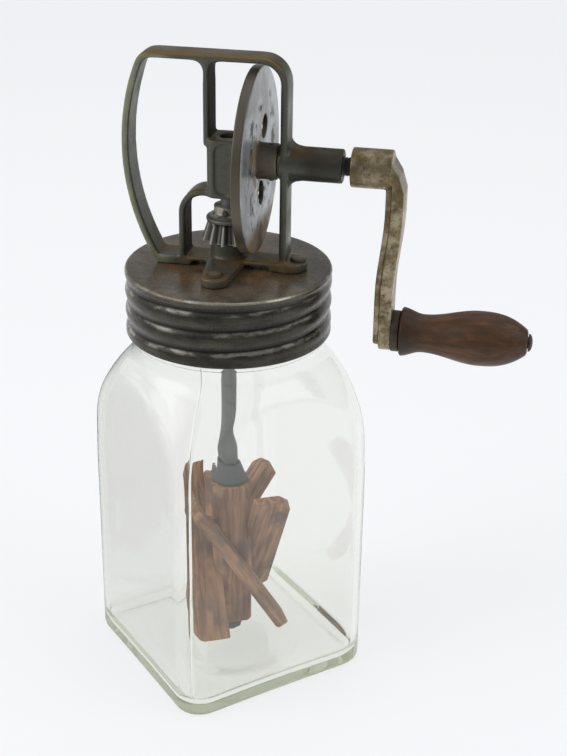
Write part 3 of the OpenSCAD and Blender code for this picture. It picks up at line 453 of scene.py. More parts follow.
SEAL_CORNERS = [(SEAL_IN, SEAL_LOW), (SEAL_OUT, SEAL_LOW), (SEAL_OUT, SEAL_HIGH), (SEAL_IN, SEAL_HIGH)]
seal = turned_ring("sealing_ring", SEAL_CORNERS, SEAL_EASE, about_z, 96)

# Red rubber, moulded: matt, with a faint grain of filler, drawn coarse enough to show.
red_rubber, tree = new_material("red_rubber")
where = node(tree, "TexCoord").outputs
grain = node(tree, "TexNoise",
             {"Vector": where["Object"], "Scale": 1 / (1.5 * MM), "Detail": 3.0, "Roughness": 0.5}).outputs[0]
ground = node(tree, "Mix", {0: grain, 6: "6b3226", 7: "864436"}, data_type="RGBA").outputs[2]
skin = node(tree, "BsdfPrincipled", {"Base Color": ground, "Roughness": 0.8})
node(tree, "OutputMaterial", skin.outputs[0])
dress(seal, red_rubber, "seal", "seal_rubber", "lid_seal_ring")

# Screw lid
# Tinplate, pressed to a cap: its skirt is rolled to the neck's screw thread, so the beads climb
# round it, and its foot ends in a plain band. The frame is riveted on its top.
LID_IN = NECK_R + THREAD_RISE + 0.7
LID_SHEET = 0.8
LID_BEAD = 1.5
LID_GROOVE = 0.2
LID_EDGE = 2.0
LID_BAND = 3.4
LID_FIRST_BEAD = LID_TOP - 7.5
LID_HOLE = 5.0
LID_SIDES = 160
GROOVE_SPAN = (51.6 * MM, 52.3 * MM)
SKIRT_SPAN = ((LID_TOP - 1.0) * MM, (LID_TOP - 3.0) * MM)
RUST_SPAN = (48 * MM, 22 * MM)


def skirt_reach(z, angle):
    """Inner radius of the lid's skirt at one height and direction."""
    room_to_end = min(z - LID_FOOT - LID_BAND / 2, LID_TOP - LID_EDGE - z)
    share_of_bead = max(0.0, min(1.0, room_to_end / LID_BAND))
    roll = math.cos(math.pi * (z - LID_FIRST_BEAD) / THREAD_PITCH - angle / 2)
    fullness = math.hypot(roll, LID_GROOVE) - LID_GROOVE
    return LID_IN - share_of_bead * LID_BEAD * (1 - fullness / (math.hypot(1, LID_GROOVE) - LID_GROOVE))


LID_RINGS = [("out", z, 0.0) for z in spaced(LID_FOOT + 0.4, LID_TOP - LID_EDGE, 68)]
LID_RINGS += [("top", LID_TOP - LID_EDGE * (1 - math.sin(t)), LID_EDGE * (1 - math.cos(t)))
              for t in spaced(0.2, math.pi / 2, 6)]
LID_RINGS += [("top", LID_TOP, d) for d in (6.0, 20.0, 34.0)]
LID_RINGS += [("top", z, LID_IN + LID_SHEET - LID_HOLE) for z in (LID_TOP, LID_TOP - LID_SHEET)]
LID_RINGS += [("top", LID_TOP - LID_SHEET, d) for d in (30.0, 14.0, LID_EDGE + 0.9)]
LID_RINGS += [("in", z, 0.0) for z in spaced(LID_TOP - LID_EDGE - 0.4, LID_FOOT + 0.4, 44)]
LID_RINGS += [("in", LID_FOOT, -LID_SHEET * 0.25), ("out", LID_FOOT, LID_SHEET * 0.25)]


def lid_place(ring, angle):
    """Point of the lid on one ring."""
    skin_name, z, inset = LID_RINGS[ring]
    radius = LID_IN + LID_SHEET - inset
    if skin_name != "top":
        radius = skirt_reach(z, angle) + (LID_SHEET if skin_name == "out" else 0.0) - inset
    return Vector((radius * math.cos(angle), radius * math.sin(angle), z)) * MM


lid = drawn_rings("screw_lid", LID_SIDES, len(LID_RINGS), lid_place, joined=True)
bpy.ops.object.shade_smooth_by_angle(angle=math.radians(50))

# Tinplate, rolled and long worn: brown-black, rusty on top round the frame, painted nearly black in
# the grooves as shade, and pale here and there on the upper flanks of the rolls, partly rubbed to
# bright metal and partly a painted highlight.
old_tin, tree = new_material("rusty_tinplate")
where = node(tree, "TexCoord").outputs
place = node(tree, "SeparateXYZ", where["Object"]).outputs
facing = node(tree, "SeparateXYZ", where["Normal"]).outputs
flat = node(tree, "VectorMath", where["Object"], (1, 1, 0), operation="MULTIPLY")
reach = node(tree, "VectorMath", flat.outputs[0], operation="LENGTH").outputs["Value"]
patches = node(tree, "TexNoise", {"Vector": where["Object"], "Scale": 1 / (16 * MM), "Detail": 7.0,
                                  "Roughness": 0.62}).outputs[0]
blooms = node(tree, "TexNoise",
              {"Vector": where["Object"], "Scale": 1 / (11 * MM), "Detail": 6.0, "Roughness": 0.7}).outputs[0]
specks = node(tree, "TexNoise", {"Vector": where["Object"], "Scale": 1 / (1.8 * MM), "Detail": 5.0,
                                 "Roughness": 0.6}).outputs[0]
ground = stained(tree, "4b4438", "665c4c", patches, 0.40, 0.64)
inward = node(tree, "MapRange", reach, *RUST_SPAN, 0.0, 0.9, **SMOOTH).outputs[0]
rusty = narrowed(tree, inward, blooms, 0.36, 0.58)
ground = node(tree, "Mix", {0: rusty, 6: ground, 7: "6e5437"}, data_type="RGBA").outputs[2]
ground = stained(tree, ground, "372f26", specks, 0.56, 0.74, 0.6)
on_skirt = node(tree, "MapRange", place["Z"], *SKIRT_SPAN, **SMOOTH).outputs[0]
streak_way = node(tree, "Mapping", {"Vector": where["Object"], "Scale": (1.0, 1.0, 3.0)})
streaks = node(tree, "TexNoise", {"Vector": streak_way.outputs[0], "Scale": 1 / (16 * MM), "Detail": 5.0,
                                  "Roughness": 0.6}).outputs[0]
skirt = stained(tree, "2c2924", "443f36", streaks, 0.36, 0.64)
skirt = stained(tree, skirt, "2a2620", specks, 0.58, 0.74, 0.35)
ground = node(tree, "Mix", {0: on_skirt, 6: ground, 7: skirt}, data_type="RGBA").outputs[2]
# Painted shade: the narrow grooves between the rolls are painted nearly black.
groove_shade = node(tree, "MapRange", reach, *GROOVE_SPAN[::-1], 0.0, 0.8, **SMOOTH).outputs[0]
groove_shade = node(tree, "Math", groove_shade, on_skirt, operation="MULTIPLY").outputs[0]
ground = node(tree, "Mix", {0: groove_shade, 6: ground, 7: "1a1814"}, data_type="RGBA").outputs[2]
flank = node(tree, "MapRange", facing["Z"], 0.22, 0.50, **SMOOTH).outputs[0]
flank = narrowed(tree, flank, facing["Z"], 0.97, 0.80)
flank = narrowed(tree, flank, reach, *GROOVE_SPAN)
# Pale metal on the rolls' upper flanks: partly rubbed bare, partly a painted highlight where the windows
# shine.
rubbed_and_highlight = narrowed(tree, flank, streaks, 0.47, 0.60, 0.12, 1.0)
ground = node(tree, "Mix", {0: rubbed_and_highlight, 6: ground, 7: "b4b0a2"}, data_type="RGBA").outputs[2]
skirt_shine = node(tree, "MapRange", on_skirt, 0.0, 1.0, 0.2, 0.5, **SMOOTH).outputs[0]
rubbed_and_highlight_shine = node(tree, "MapRange", rubbed_and_highlight, 0.0, 1.0, 0.2, 0.9, **SMOOTH).outputs[0]
bright = node(tree, "Math", skirt_shine, rubbed_and_highlight_shine, operation="MAXIMUM").outputs[0]
gloss = node(tree, "MapRange", specks, 0.3, 0.7, 0.2, 0.36, **SMOOTH).outputs[0]
pitted = node(tree, "Bump", {"Height": specks, "Strength": 0.18, "Distance": 0.2 * MM}).outputs[0]
skin = node(tree, "BsdfPrincipled",
            {"Base Color": ground, "Metallic": bright, "Roughness": gloss, "Normal": pitted})
node(tree, "OutputMaterial", skin.outputs[0])
dress(lid, old_tin, "lid", "lid_tinplate", "lid_cap")

# Frame
# One iron casting: the carrying loop, the top bar, the leg with the crank's bearing, the inner
# bearing block on its upright and stay, and the foot. Sand casting rounds its edges.
MERGE_WITHIN = 0.002 * MM
BAR_LOW = 325.0
BAR_RISE = 6.0
BAR_PASSES = 30
BAR_SPAN = ((BAR_LOW + 1) * MM, (BAR_LOW + 7) * MM)
LOOP_SPAN = (-24 * MM, -34 * MM)
FOOT_SPAN = ((LID_TOP + 9.0) * MM, (LID_TOP + 5.5) * MM)
OIL_START = (-31 * MM, -25 * MM)
OIL_END = (10 * MM, 2 * MM)
BEARING_SPAN = (33 * MM, 44 * MM)
BEARING_RISE = (255 * MM, 265 * MM)


def merged_copy(name, solid):
    """A copy of a solid's mesh as a piece of its own, with its double points merged."""
    piece = bpy.data.objects.new(name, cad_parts[solid].data.copy())
    piece.data.name = name
    bpy.context.scene.collection.objects.link(piece)
    bpy.ops.object.select_all(action="DESELECT")
    piece.select_set(True)
    bpy.context.view_layer.objects.active = piece
    bpy.ops.object.mode_set(mode="EDIT")
    bpy.ops.mesh.select_all(action="SELECT")
    bpy.ops.mesh.remove_doubles(threshold=MERGE_WITHIN)
    bpy.ops.object.mode_set(mode="OBJECT")
    return piece


def smoothed(piece, name, passes, group=""):
    """Smooths a piece, or one vertex group of it."""
    soften = piece.modifiers.new(name, "SMOOTH")
    soften.factor = 0.5
    soften.iterations = passes
    soften.vertex_group = group
    bpy.ops.object.modifier_apply(modifier=name)


def cast_copy(name, solid, grain_size, passes):
    """A casting's skin over a solid: one merged copy, remeshed at the grain's size and smoothed."""
    piece = merged_copy(name, solid)
    shell = piece.modifiers.new("shell", "REMESH")
    shell.mode = "VOXEL"
    shell.voxel_size = grain_size * MM
    bpy.ops.object.modifier_apply(modifier="shell")
    smoothed(piece, "soften", passes)
    bpy.ops.object.shade_smooth()
    return piece


casting = cast_copy("iron_frame", "frame_casting", grain_size=0.62, passes=12)
bar = casting.vertex_groups.new(name="bar")
for vertex in casting.data.vertices:
    rise = min(1.0, max(0.0, (vertex.co.z / MM - BAR_LOW) / BAR_RISE))
    if rise > 0:
        bar.add([vertex.index], rise, "REPLACE")
smoothed(casting, "worn_round", BAR_PASSES, "bar")

# Cast iron, long handled: olive grey, with painted light making the loop's front faces pale, brown on
# top with a golden band on the bar's front-top faces that is partly wear and partly a painted
# highlight, browned low down, dull with old oil and painted dark as the gear's shadow on the faces
# that look at the gears, dark at the crank's bearing, pale on its edges, partly worn and partly a
# painted highlight, and painted dark in its hollows as shade. The grain of the sand is drawn coarse
# enough to show.
frame_iron, tree = new_material("cast_iron_patina")
where = node(tree, "TexCoord").outputs
place = node(tree, "SeparateXYZ", where["Object"]).outputs
facing = node(tree, "SeparateXYZ", where["Normal"]).outputs
shape = node(tree, "NewGeometry").outputs
blotches = node(tree, "TexNoise", {"Vector": where["Object"], "Scale": 1 / (14 * MM), "Detail": 6.0,
                                   "Roughness": 0.6}).outputs[0]
sand = node(tree, "TexNoise",
            {"Vector": where["Object"], "Scale": 1 / (1.1 * MM), "Detail": 4.0, "Roughness": 0.6}).outputs[0]
spread = node(tree, "MapRange", blotches, 0.36, 0.60, **SMOOTH).outputs[0]
ground = node(tree, "Mix", {0: sand, 6: "4c4d46", 7: "66675c"}, data_type="RGBA").outputs[2]
lying = node(tree, "MapRange", facing["Z"], 0.15, 0.85, **SMOOTH).outputs[0]
brown = node(tree, "Math", lying, spread, operation="MULTIPLY").outputs[0]
stains = node(tree, "MapRange", blotches, 0.55, 0.75, 0.0, 0.45, **SMOOTH).outputs[0]
brown = node(tree, "Math", brown, stains, operation="MAXIMUM").outputs[0]
ground = node(tree, "Mix", {0: brown, 6: ground, 7: "564832"}, data_type="RGBA").outputs[2]
# Painted light: the loop's faces that look to the front are painted pale, as if lit from the front.
on_loop = node(tree, "MapRange", place["X"], *LOOP_SPAN, **SMOOTH).outputs[0]
front = node(tree, "MapRange", facing["Y"], -0.35, -0.80, **SMOOTH).outputs[0]
painted_front_light = node(tree, "Math", on_loop, front, operation="MULTIPLY").outputs[0]
painted_front_light = narrowed(tree, painted_front_light, blotches, 0.30, 0.60, 0.9, 0.5)
ground = node(tree, "Mix", {0: painted_front_light, 6: ground, 7: "94967e"}, data_type="RGBA").outputs[2]
# The bar's front-top faces get a golden band: partly brown wear, partly a painted highlight.
front_top = node(tree, "VectorMath", where["Normal"], (0, -0.6, 0.8),
                 operation="DOT_PRODUCT").outputs["Value"]
on_bar = node(tree, "MapRange", place["Z"], *BAR_SPAN, **SMOOTH).outputs[0]
worn_band_and_highlight = narrowed(tree, on_bar, front_top, 0.62, 0.97)
worn_band_and_highlight = narrowed(tree, worn_band_and_highlight, blotches, 0.30, 0.55, 0.45, 0.95)
ground = node(tree, "Mix", {0: worn_band_and_highlight, 6: ground, 7: "725e3d"}, data_type="RGBA").outputs[2]
low = node(tree, "MapRange", place["Z"], *FOOT_SPAN, 0.0, 0.75, **SMOOTH).outputs[0]
low = node(tree, "Math", low, spread, operation="MULTIPLY").outputs[0]
ground = node(tree, "Mix", {0: low, 6: ground, 7: "7d6846"}, data_type="RGBA").outputs[2]
# Faces that look at the gears are painted dark as the gear's shadow, and made dull as with old oil.
by_gears = node(tree, "MapRange", place["X"], *OIL_START, **SMOOTH).outputs[0]
by_gears = narrowed(tree, by_gears, place["X"], *OIL_END)
oily_and_shaded = narrowed(tree, by_gears, facing["X"], 0.30, 0.70, top=0.9)
ground = node(tree, "Mix", {0: oily_and_shaded, 6: ground, 7: "474034"}, data_type="RGBA").outputs[2]
on_bearing = node(tree, "MapRange", place["X"], *BEARING_SPAN, 0.0, 0.65, **SMOOTH).outputs[0]
on_bearing = narrowed(tree, on_bearing, place["Z"], *BEARING_RISE)
ground = node(tree, "Mix", {0: on_bearing, 6: ground, 7: "35332c"}, data_type="RGBA").outputs[2]
# Pale on the edges: partly worn, partly a painted highlight.
ground = stained(tree, ground, "96968a", shape["Pointiness"], 0.53, 0.60, 0.75)
# Dark in the hollows: painted shade.
ground = stained(tree, ground, "2b2a26", shape["Pointiness"], 0.49, 0.44, 0.85)
dull = node(tree, "MapRange", oily_and_shaded, 0.0, 1.0, 0.45, 0.04, **SMOOTH).outputs[0]
worn = node(tree, "MapRange", blotches, 0.3, 0.7, 0.24, 0.42, **SMOOTH).outputs[0]
oiled = node(tree, "MapRange", oily_and_shaded, 0.0, 1.0, 0.0, 0.75, **SMOOTH).outputs[0]
gloss = node(tree, "Math", worn, oiled, operation="MAXIMUM").outputs[0]
gritty = node(tree, "Bump", {"Height": sand, "Strength": 0.22, "Distance": 0.2 * MM}).outputs[0]
skin = node(tree, "BsdfPrincipled", {"Base Color": ground, "Metallic": dull, "Specular IOR Level": 0.3,
                                     "Specular Tint": "c4c4bc", "Roughness": gloss, "Normal": gritty})
node(tree, "OutputMaterial", skin.outputs[0])
dress(casting, frame_iron, "lid", "frame_iron", "frame_casting")

# Rivets
# Three soft iron rivets hold the casting's foot on the lid: one in each ear and one on the pad
# beside the leg. Their heads are hammered to low domes.
RIVET_HEAD_R = 4.3
RIVET_HEAD_H = 1.4
RIVET_R = 1.8
RIVET_RIM = 0.3
FOOT_T = 5.0
RIVET_PLACES = (("front", 0.0, -30.0), ("back", 0.0, 30.0), ("leg", 36.2, 0.0))
CROWN_SPAN = ((LID_TOP + FOOT_T + 0.8) * MM, (LID_TOP + FOOT_T + 1.5) * MM)
RIVET_LOW = -LID_SHEET - RIVET_HEAD_H / 2
RIVET_LINE = [(0.2, RIVET_LOW), (RIVET_HEAD_R, RIVET_LOW), (RIVET_HEAD_R, -LID_SHEET), (RIVET_R, -LID_SHEET),
              (RIVET_R, FOOT_T), (RIVET_HEAD_R, FOOT_T)]
RIVET_LINE += [(RIVET_HEAD_R * math.cos(t), FOOT_T + RIVET_RIM + (RIVET_HEAD_H - RIVET_RIM) * math.sin(t))
               for t in spaced(0.0, 1.52, 10)]


def about_line(profile, start, along, across):
    """Place on a piece turned about a line from start; the profile's points are (radius, distance)."""
    start, along, across = Vector(start), Vector(along), Vector(across)
    third = along.cross(across)

    def point(ring, angle):
        radius, distance = profile[ring]
        return (start + along * distance + (across * math.cos(angle) + third * math.sin(angle)) * radius) * MM

    return point


Z_AXIS = ((0, 0, 1), (1, 0, 0))

# Soft iron, hammered: dark with brown rust, a little paler on the crown.
rivet_iron, tree = new_material("hammered_iron")
where = node(tree, "TexCoord").outputs
dents = node(tree, "TexNoise",
             {"Vector": where["Object"], "Scale": 1 / (1.6 * MM), "Detail": 3.0, "Roughness": 0.5}).outputs[0]
tall = node(tree, "SeparateXYZ", where["Object"]).outputs["Z"]
crown = node(tree, "MapRange", tall, *CROWN_SPAN, **SMOOTH).outputs[0]
ground = node(tree, "Mix", {0: crown, 6: "43382c", 7: "73614c"}, data_type="RGBA").outputs[2]
gloss = node(tree, "MapRange", dents, 0.0, 1.0, 0.35, 0.6).outputs[0]
relief = node(tree, "Bump", {"Height": dents, "Strength": 0.4, "Distance": 0.3 * MM}).outputs[0]
skin = node(tree, "BsdfPrincipled",
            {"Base Color": ground, "Metallic": 0.3, "Roughness": gloss, "Normal": relief})
node(tree, "OutputMaterial", skin.outputs[0])
for place_name, x, y in RIVET_PLACES:
    shank = about_line(RIVET_LINE, (x, y, LID_TOP), *Z_AXIS)
    rivet = drawn_rings("rivet_" + place_name, 32, len(RIVET_LINE), shank)
    bpy.ops.object.shade_smooth_by_angle(angle=math.radians(40))
    dress(rivet, rivet_iron, "lid", "rivet_iron", "frame_rivets")

# Drive gear
# A cast bevel gear with three round holes and a rim that shrouds its teeth. It is pinned on the
# crank shaft by its hub.
CRANK_Z = 287.1
SOIL_START = (13 * MM, 21 * MM)
SOIL_END = (42 * MM, 31 * MM)
OILED_HUB = (19 * MM, 12 * MM)
RUSTY_EDGE = (-27 * MM, -37 * MM)
gear = cast_copy("bevel_gear", "drive_gear", grain_size=0.5, passes=4)

# Grey cast iron, its face turned bright and now stained: pale grey, soiled in a ring round the holes,
# golden with old oil by the hub, rusty at the lower edge, with a browned rim and hub.
gear_iron, tree = new_material("turned_cast_iron")
where = node(tree, "TexCoord").outputs
centred = node(tree, "Mapping", {"Vector": where["Object"], "Location": (0, 0, -CRANK_Z * MM)}).outputs[0]
off_axis = node(tree, "VectorMath", centred, (0, 1, 1), operation="MULTIPLY")
reach = node(tree, "VectorMath", off_axis.outputs[0], operation="LENGTH").outputs["Value"]
place = node(tree, "SeparateXYZ", centred).outputs
facing = node(tree, "SeparateXYZ", where["Normal"]).outputs
shape = node(tree, "NewGeometry").outputs
smears = node(tree, "TexNoise",
              {"Vector": centred, "Scale": 1 / (10 * MM), "Detail": 7.0, "Roughness": 0.64}).outputs[0]
specks = node(tree, "TexNoise",
              {"Vector": centred, "Scale": 1 / (1.4 * MM), "Detail": 4.0, "Roughness": 0.6}).outputs[0]
clouds = node(tree, "TexNoise",
              {"Vector": centred, "Scale": 1 / (22 * MM), "Detail": 4.0, "Roughness": 0.6}).outputs[0]
ground = stained(tree, "7e7f80", "b8babb", clouds, 0.38, 0.62)
ground = stained(tree, ground, "8a8d8f", specks, 0.35, 0.65, 0.35)
ring = node(tree, "MapRange", reach, *SOIL_START, **SMOOTH).outputs[0]
ring = narrowed(tree, ring, reach, *SOIL_END)
soil = narrowed(tree, ring, smears, 0.50, 0.62, top=0.85)
ground = node(tree, "Mix", {0: soil, 6: ground, 7: "514e46"}, data_type="RGBA").outputs[2]
by_hub = node(tree, "MapRange", reach, *OILED_HUB, **SMOOTH).outputs[0]
golden = narrowed(tree, by_hub, smears, 0.40, 0.56, top=0.9)
ground = node(tree, "Mix", {0: golden, 6: ground, 7: "85703f"}, data_type="RGBA").outputs[2]
by_foot = node(tree, "MapRange", place["Z"], *RUSTY_EDGE, **SMOOTH).outputs[0]
by_foot = narrowed(tree, by_foot, smears, 0.34, 0.50, 0.5, 0.95)
ground = node(tree, "Mix", {0: by_foot, 6: ground, 7: "7c6442"}, data_type="RGBA").outputs[2]
dirt = node(tree, "Math", soil, golden, operation="MAXIMUM").outputs[0]
dirt = node(tree, "Math", dirt, by_foot, operation="MAXIMUM").outputs[0]
face_on = node(tree, "MapRange", facing["X"], 0.55, 0.95, **SMOOTH).outputs[0]
ground = node(tree, "Mix", {0: face_on, 6: "5f594c", 7: ground}, data_type="RGBA").outputs[2]
ground = stained(tree, ground, "8d8b82", shape["Pointiness"], 0.53, 0.60, 0.5)
dull = node(tree, "MapRange", dirt, 0.0, 1.0, 0.62, 0.08, **SMOOTH).outputs[0]
gloss = node(tree, "MapRange", dirt, 0.0, 1.0, 0.36, 0.66, **SMOOTH).outputs[0]
rough = node(tree, "Bump", {"Height": specks, "Strength": 0.15, "Distance": 0.15 * MM}).outputs[0]
skin = node(tree, "BsdfPrincipled", {"Base Color": ground, "Metallic": dull, "Specular IOR Level": 0.35,
                                     "Roughness": gloss, "Normal": rough})
node(tree, "OutputMaterial", skin.outputs[0])
dress(gear, gear_iron, "crank", "gear_iron", "drive_gear")

# Cross pins
# Two short steel pins: one drives the gear from the crank shaft, the other the pinion on the
# upright shaft. They are driven in, and their ends stand a little proud.
PIN_R = 1.3
PIN_EASE = 0.4
ROD_TIP = 0.15
GEAR_PIN_X = 21.8
GEAR_PIN_LOW = CRANK_Z - 9.8
GEAR_PIN_HIGH = CRANK_Z + 9.0
PINION_PIN_Z = 260.6
PINION_PIN_HALF = 8.1
Y_AXIS = ((0, 1, 0), (0, 0, 1))


def turned_rod(name, corners, ease, start, axis, sides=48):
    """A solid piece turned about a line, with eased edges; corners are (radius, distance)."""
    outline = rounded([(ROD_TIP, corners[0][1])] + list(corners) + [(ROD_TIP, corners[-1][1])], ease)
    piece = drawn_rings(name, sides, len(outline), about_line(outline, start, *axis))
    bpy.ops.object.shade_smooth_by_angle(angle=math.radians(40))
    return piece


gear_pin = turned_rod("gear_cross_pin", [(PIN_R, 0), (PIN_R, GEAR_PIN_HIGH - GEAR_PIN_LOW)], PIN_EASE,
                      (GEAR_PIN_X, 0, GEAR_PIN_LOW), Z_AXIS, 24)
pinion_pin = turned_rod("pinion_cross_pin", [(PIN_R, 0), (PIN_R, 2 * PINION_PIN_HALF)], PIN_EASE,
                        (0, -PINION_PIN_HALF, PINION_PIN_Z), Y_AXIS, 24)

# Drawn steel wire: dark and dull, with fine marks all over, drawn coarse enough to show.
pin_steel, tree = new_material("drawn_steel_pin")
where = node(tree, "TexCoord").outputs
marks = node(tree, "TexNoise",
             {"Vector": where["Object"], "Scale": 1 / (0.8 * MM), "Detail": 3.0, "Roughness": 0.5}).outputs[0]
ground = node(tree, "Mix", {0: marks, 6: "3f3b33", 7: "706a5d"}, data_type="RGBA").outputs[2]
gloss = node(tree, "MapRange", marks, 0.0, 1.0, 0.3, 0.6).outputs[0]
skin = node(tree, "BsdfPrincipled", {"Base Color": ground, "Metallic": 0.8, "Roughness": gloss})
node(tree, "OutputMaterial", skin.outputs[0])
dress(gear_pin, pin_steel, "crank", "pin_steel", "gear_pin")
dress(pinion_pin, pin_steel, "dasher", "pin_steel", "pinion_pin")

# Crank shaft
# A steel rod that runs in the two bearings. Its outer end is threaded for the crank, and a few
# turns of the thread show between the bearing and the crank's hub.
SHAFT_R = 4.75
SHAFT_IN = -6.4
SHAFT_OUT = 78.1
THREAD_FROM = 58.0
THREAD_TO = 63.0
SHAFT_PITCH = 1.4
SHAFT_GROOVE = 0.5
SHAFT_EASE = 0.6
SHAFT_STOPS = [(ROD_TIP, SHAFT_IN), (SHAFT_R - SHAFT_EASE, SHAFT_IN), (SHAFT_R, SHAFT_IN + SHAFT_EASE)]
SHAFT_STOPS += [(SHAFT_R, x) for x in spaced(THREAD_FROM, THREAD_TO, 42)]
SHAFT_STOPS += [(SHAFT_R, SHAFT_OUT - SHAFT_EASE), (SHAFT_R - SHAFT_EASE, SHAFT_OUT), (ROD_TIP, SHAFT_OUT)]


def shaft_place(ring, angle):
    """Point of the crank shaft, with the thread's groove between its two ends."""
    radius, x = SHAFT_STOPS[ring]
    if THREAD_FROM < x < THREAD_TO:
        phase = (x / SHAFT_PITCH - angle / (2 * math.pi)) % 1.0
        radius -= SHAFT_GROOVE * (1 - abs(2 * phase - 1))
    return Vector((x, radius * math.cos(angle), CRANK_Z + radius * math.sin(angle))) * MM


crank_shaft = drawn_rings("crank_shaft_rod", 48, len(SHAFT_STOPS), shaft_place)
bpy.ops.object.shade_smooth_by_angle(angle=math.radians(50))

# Mild steel, turned: dark, with a patchy film of old grease.
shaft_steel, tree = new_material("oiled_mild_steel")
where = node(tree, "TexCoord").outputs
drawn = node(tree, "Mapping", {"Vector": where["Object"], "Scale": (1.0, 1.0, 0.35)})
film = node(tree, "TexNoise",
            {"Vector": drawn.outputs[0], "Scale": 1 / (3 * MM), "Detail": 5.0, "Roughness": 0.5}).outputs[0]
ground = node(tree, "Mix", {0: film, 6: "2b2c2c", 7: "5b5d5c"}, data_type="RGBA").outputs[2]
gloss = node(tree, "MapRange", film, 0.0, 1.0, 0.3, 0.6).outputs[0]
skin = node(tree, "BsdfPrincipled", {"Base Color": ground, "Metallic": 0.75, "Roughness": gloss})
node(tree, "OutputMaterial", skin.outputs[0])
dress(crank_shaft, shaft_steel, "crank", "shaft_steel", "crank_shaft")

# Crank
# A forged iron arm with a round hub, screwed on the shaft's end and nickel plated. It leans in
# below the hub and ends in a round eye for the handle's spindle.
HUB_SPAN = ((CRANK_Z - 16) * MM, (CRANK_Z - 6) * MM)
crank = cast_copy("crank_arm_forging", "crank_arm", grain_size=0.42, passes=9)

# Nickel plate over iron: yellowed, olive on the side towards the jar and up by the hub, browned in
# patches, flaked to dark iron in spots, bright along its edges, partly rubbed and partly a painted
# highlight, and painted dark in its corners as shade.
nickel, tree = new_material("flaking_nickel_plate")
where = node(tree, "TexCoord").outputs
place = node(tree, "SeparateXYZ", where["Object"]).outputs
facing = node(tree, "SeparateXYZ", where["Normal"]).outputs
shape = node(tree, "NewGeometry").outputs
tarnish = node(tree, "TexNoise", {"Vector": where["Object"], "Scale": 1 / (7 * MM), "Detail": 6.0,
                                  "Roughness": 0.65}).outputs[0]
patches = node(tree, "TexNoise", {"Vector": where["Object"], "Scale": 1 / (15 * MM), "Detail": 5.0,
                                  "Roughness": 0.65}).outputs[0]
flakes = node(tree, "TexNoise", {"Vector": where["Object"], "Scale": 1 / (2.0 * MM), "Detail": 5.0,
                                 "Roughness": 0.7}).outputs[0]
ground = stained(tree, "77694c", "b6a98e", tarnish, 0.38, 0.62)
ground = stained(tree, ground, "6a5433", patches, 0.52, 0.66, 0.75)
ground = stained(tree, ground, "68654a", facing["X"], -0.35, -0.80, 0.6)
by_hub = node(tree, "MapRange", place["Z"], *HUB_SPAN, 0.0, 0.45, **SMOOTH).outputs[0]
ground = node(tree, "Mix", {0: by_hub, 6: ground, 7: "5c5230"}, data_type="RGBA").outputs[2]
bare = node(tree, "MapRange", flakes, 0.56, 0.66, **SMOOTH).outputs[0]
iron_share = node(tree, "Math", bare, 0.8, operation="MULTIPLY").outputs[0]
ground = node(tree, "Mix", {0: iron_share, 6: ground, 7: "493f2e"}, data_type="RGBA").outputs[2]
# Bright on the edges: partly rubbed, partly a painted highlight.
ground = stained(tree, ground, "d2c8b0", shape["Pointiness"], 0.52, 0.58, 0.75)
# Dark in the corners: painted shade.
ground = stained(tree, ground, "4a3c26", shape["Pointiness"], 0.48, 0.43, 0.75)
gloss = node(tree, "MapRange", bare, 0.0, 1.0, 0.34, 0.62, **SMOOTH).outputs[0]
flaky = node(tree, "Bump", {"Height": bare, "Strength": 0.35, "Distance": 0.12 * MM}, invert=True).outputs[0]
skin = node(tree, "BsdfPrincipled",
            {"Base Color": ground, "Metallic": 0.65, "Roughness": gloss, "Normal": flaky})
node(tree, "OutputMaterial", skin.outputs[0])
dress(crank, nickel, "crank", "crank_plating", "crank_arm")

# Handle collar and spindle
# The spindle is a steel rod through the arm's eye and the grip, with a domed end. The collar keeps
# the grip off the arm.
HANDLE_Z = 202.6
SPINDLE_R = 3.0
SPINDLE_FROM = 76.1
COLLAR_FROM = 85.3
COLLAR_TO = 89.3
COLLAR_R = 10.5
COLLAR_BORE = 3.02
COLLAR_EASE = 0.5
DOME_FROM = 153.9
DOME_H = 2.2
DOME_R = 4.5
DOME_RIM = 0.4
X_AXIS = ((1, 0, 0), (0, 1, 0))
COLLAR_CORNERS = [(COLLAR_BORE, COLLAR_FROM), (COLLAR_R, COLLAR_FROM), (COLLAR_R, COLLAR_TO),
                  (COLLAR_BORE, COLLAR_TO)]
collar = turned_ring("grip_collar", COLLAR_CORNERS, COLLAR_EASE,
                     lambda outline: about_line(outline, (0, 0, HANDLE_Z), *X_AXIS), 56)
DOME_LINE = [(ROD_TIP, SPINDLE_FROM), (SPINDLE_R, SPINDLE_FROM), (SPINDLE_R, DOME_FROM), (DOME_R, DOME_FROM)]
DOME_LINE += [(DOME_R * math.cos(t), DOME_FROM + DOME_RIM + (DOME_H - DOME_RIM) * math.sin(t))
              for t in spaced(0.0, 1.53, 9)]
spindle = drawn_rings("grip_spindle", 40, len(DOME_LINE), about_line(DOME_LINE, (0, 0, HANDLE_Z), *X_AXIS))
bpy.ops.object.shade_smooth_by_angle(angle=math.radians(40))

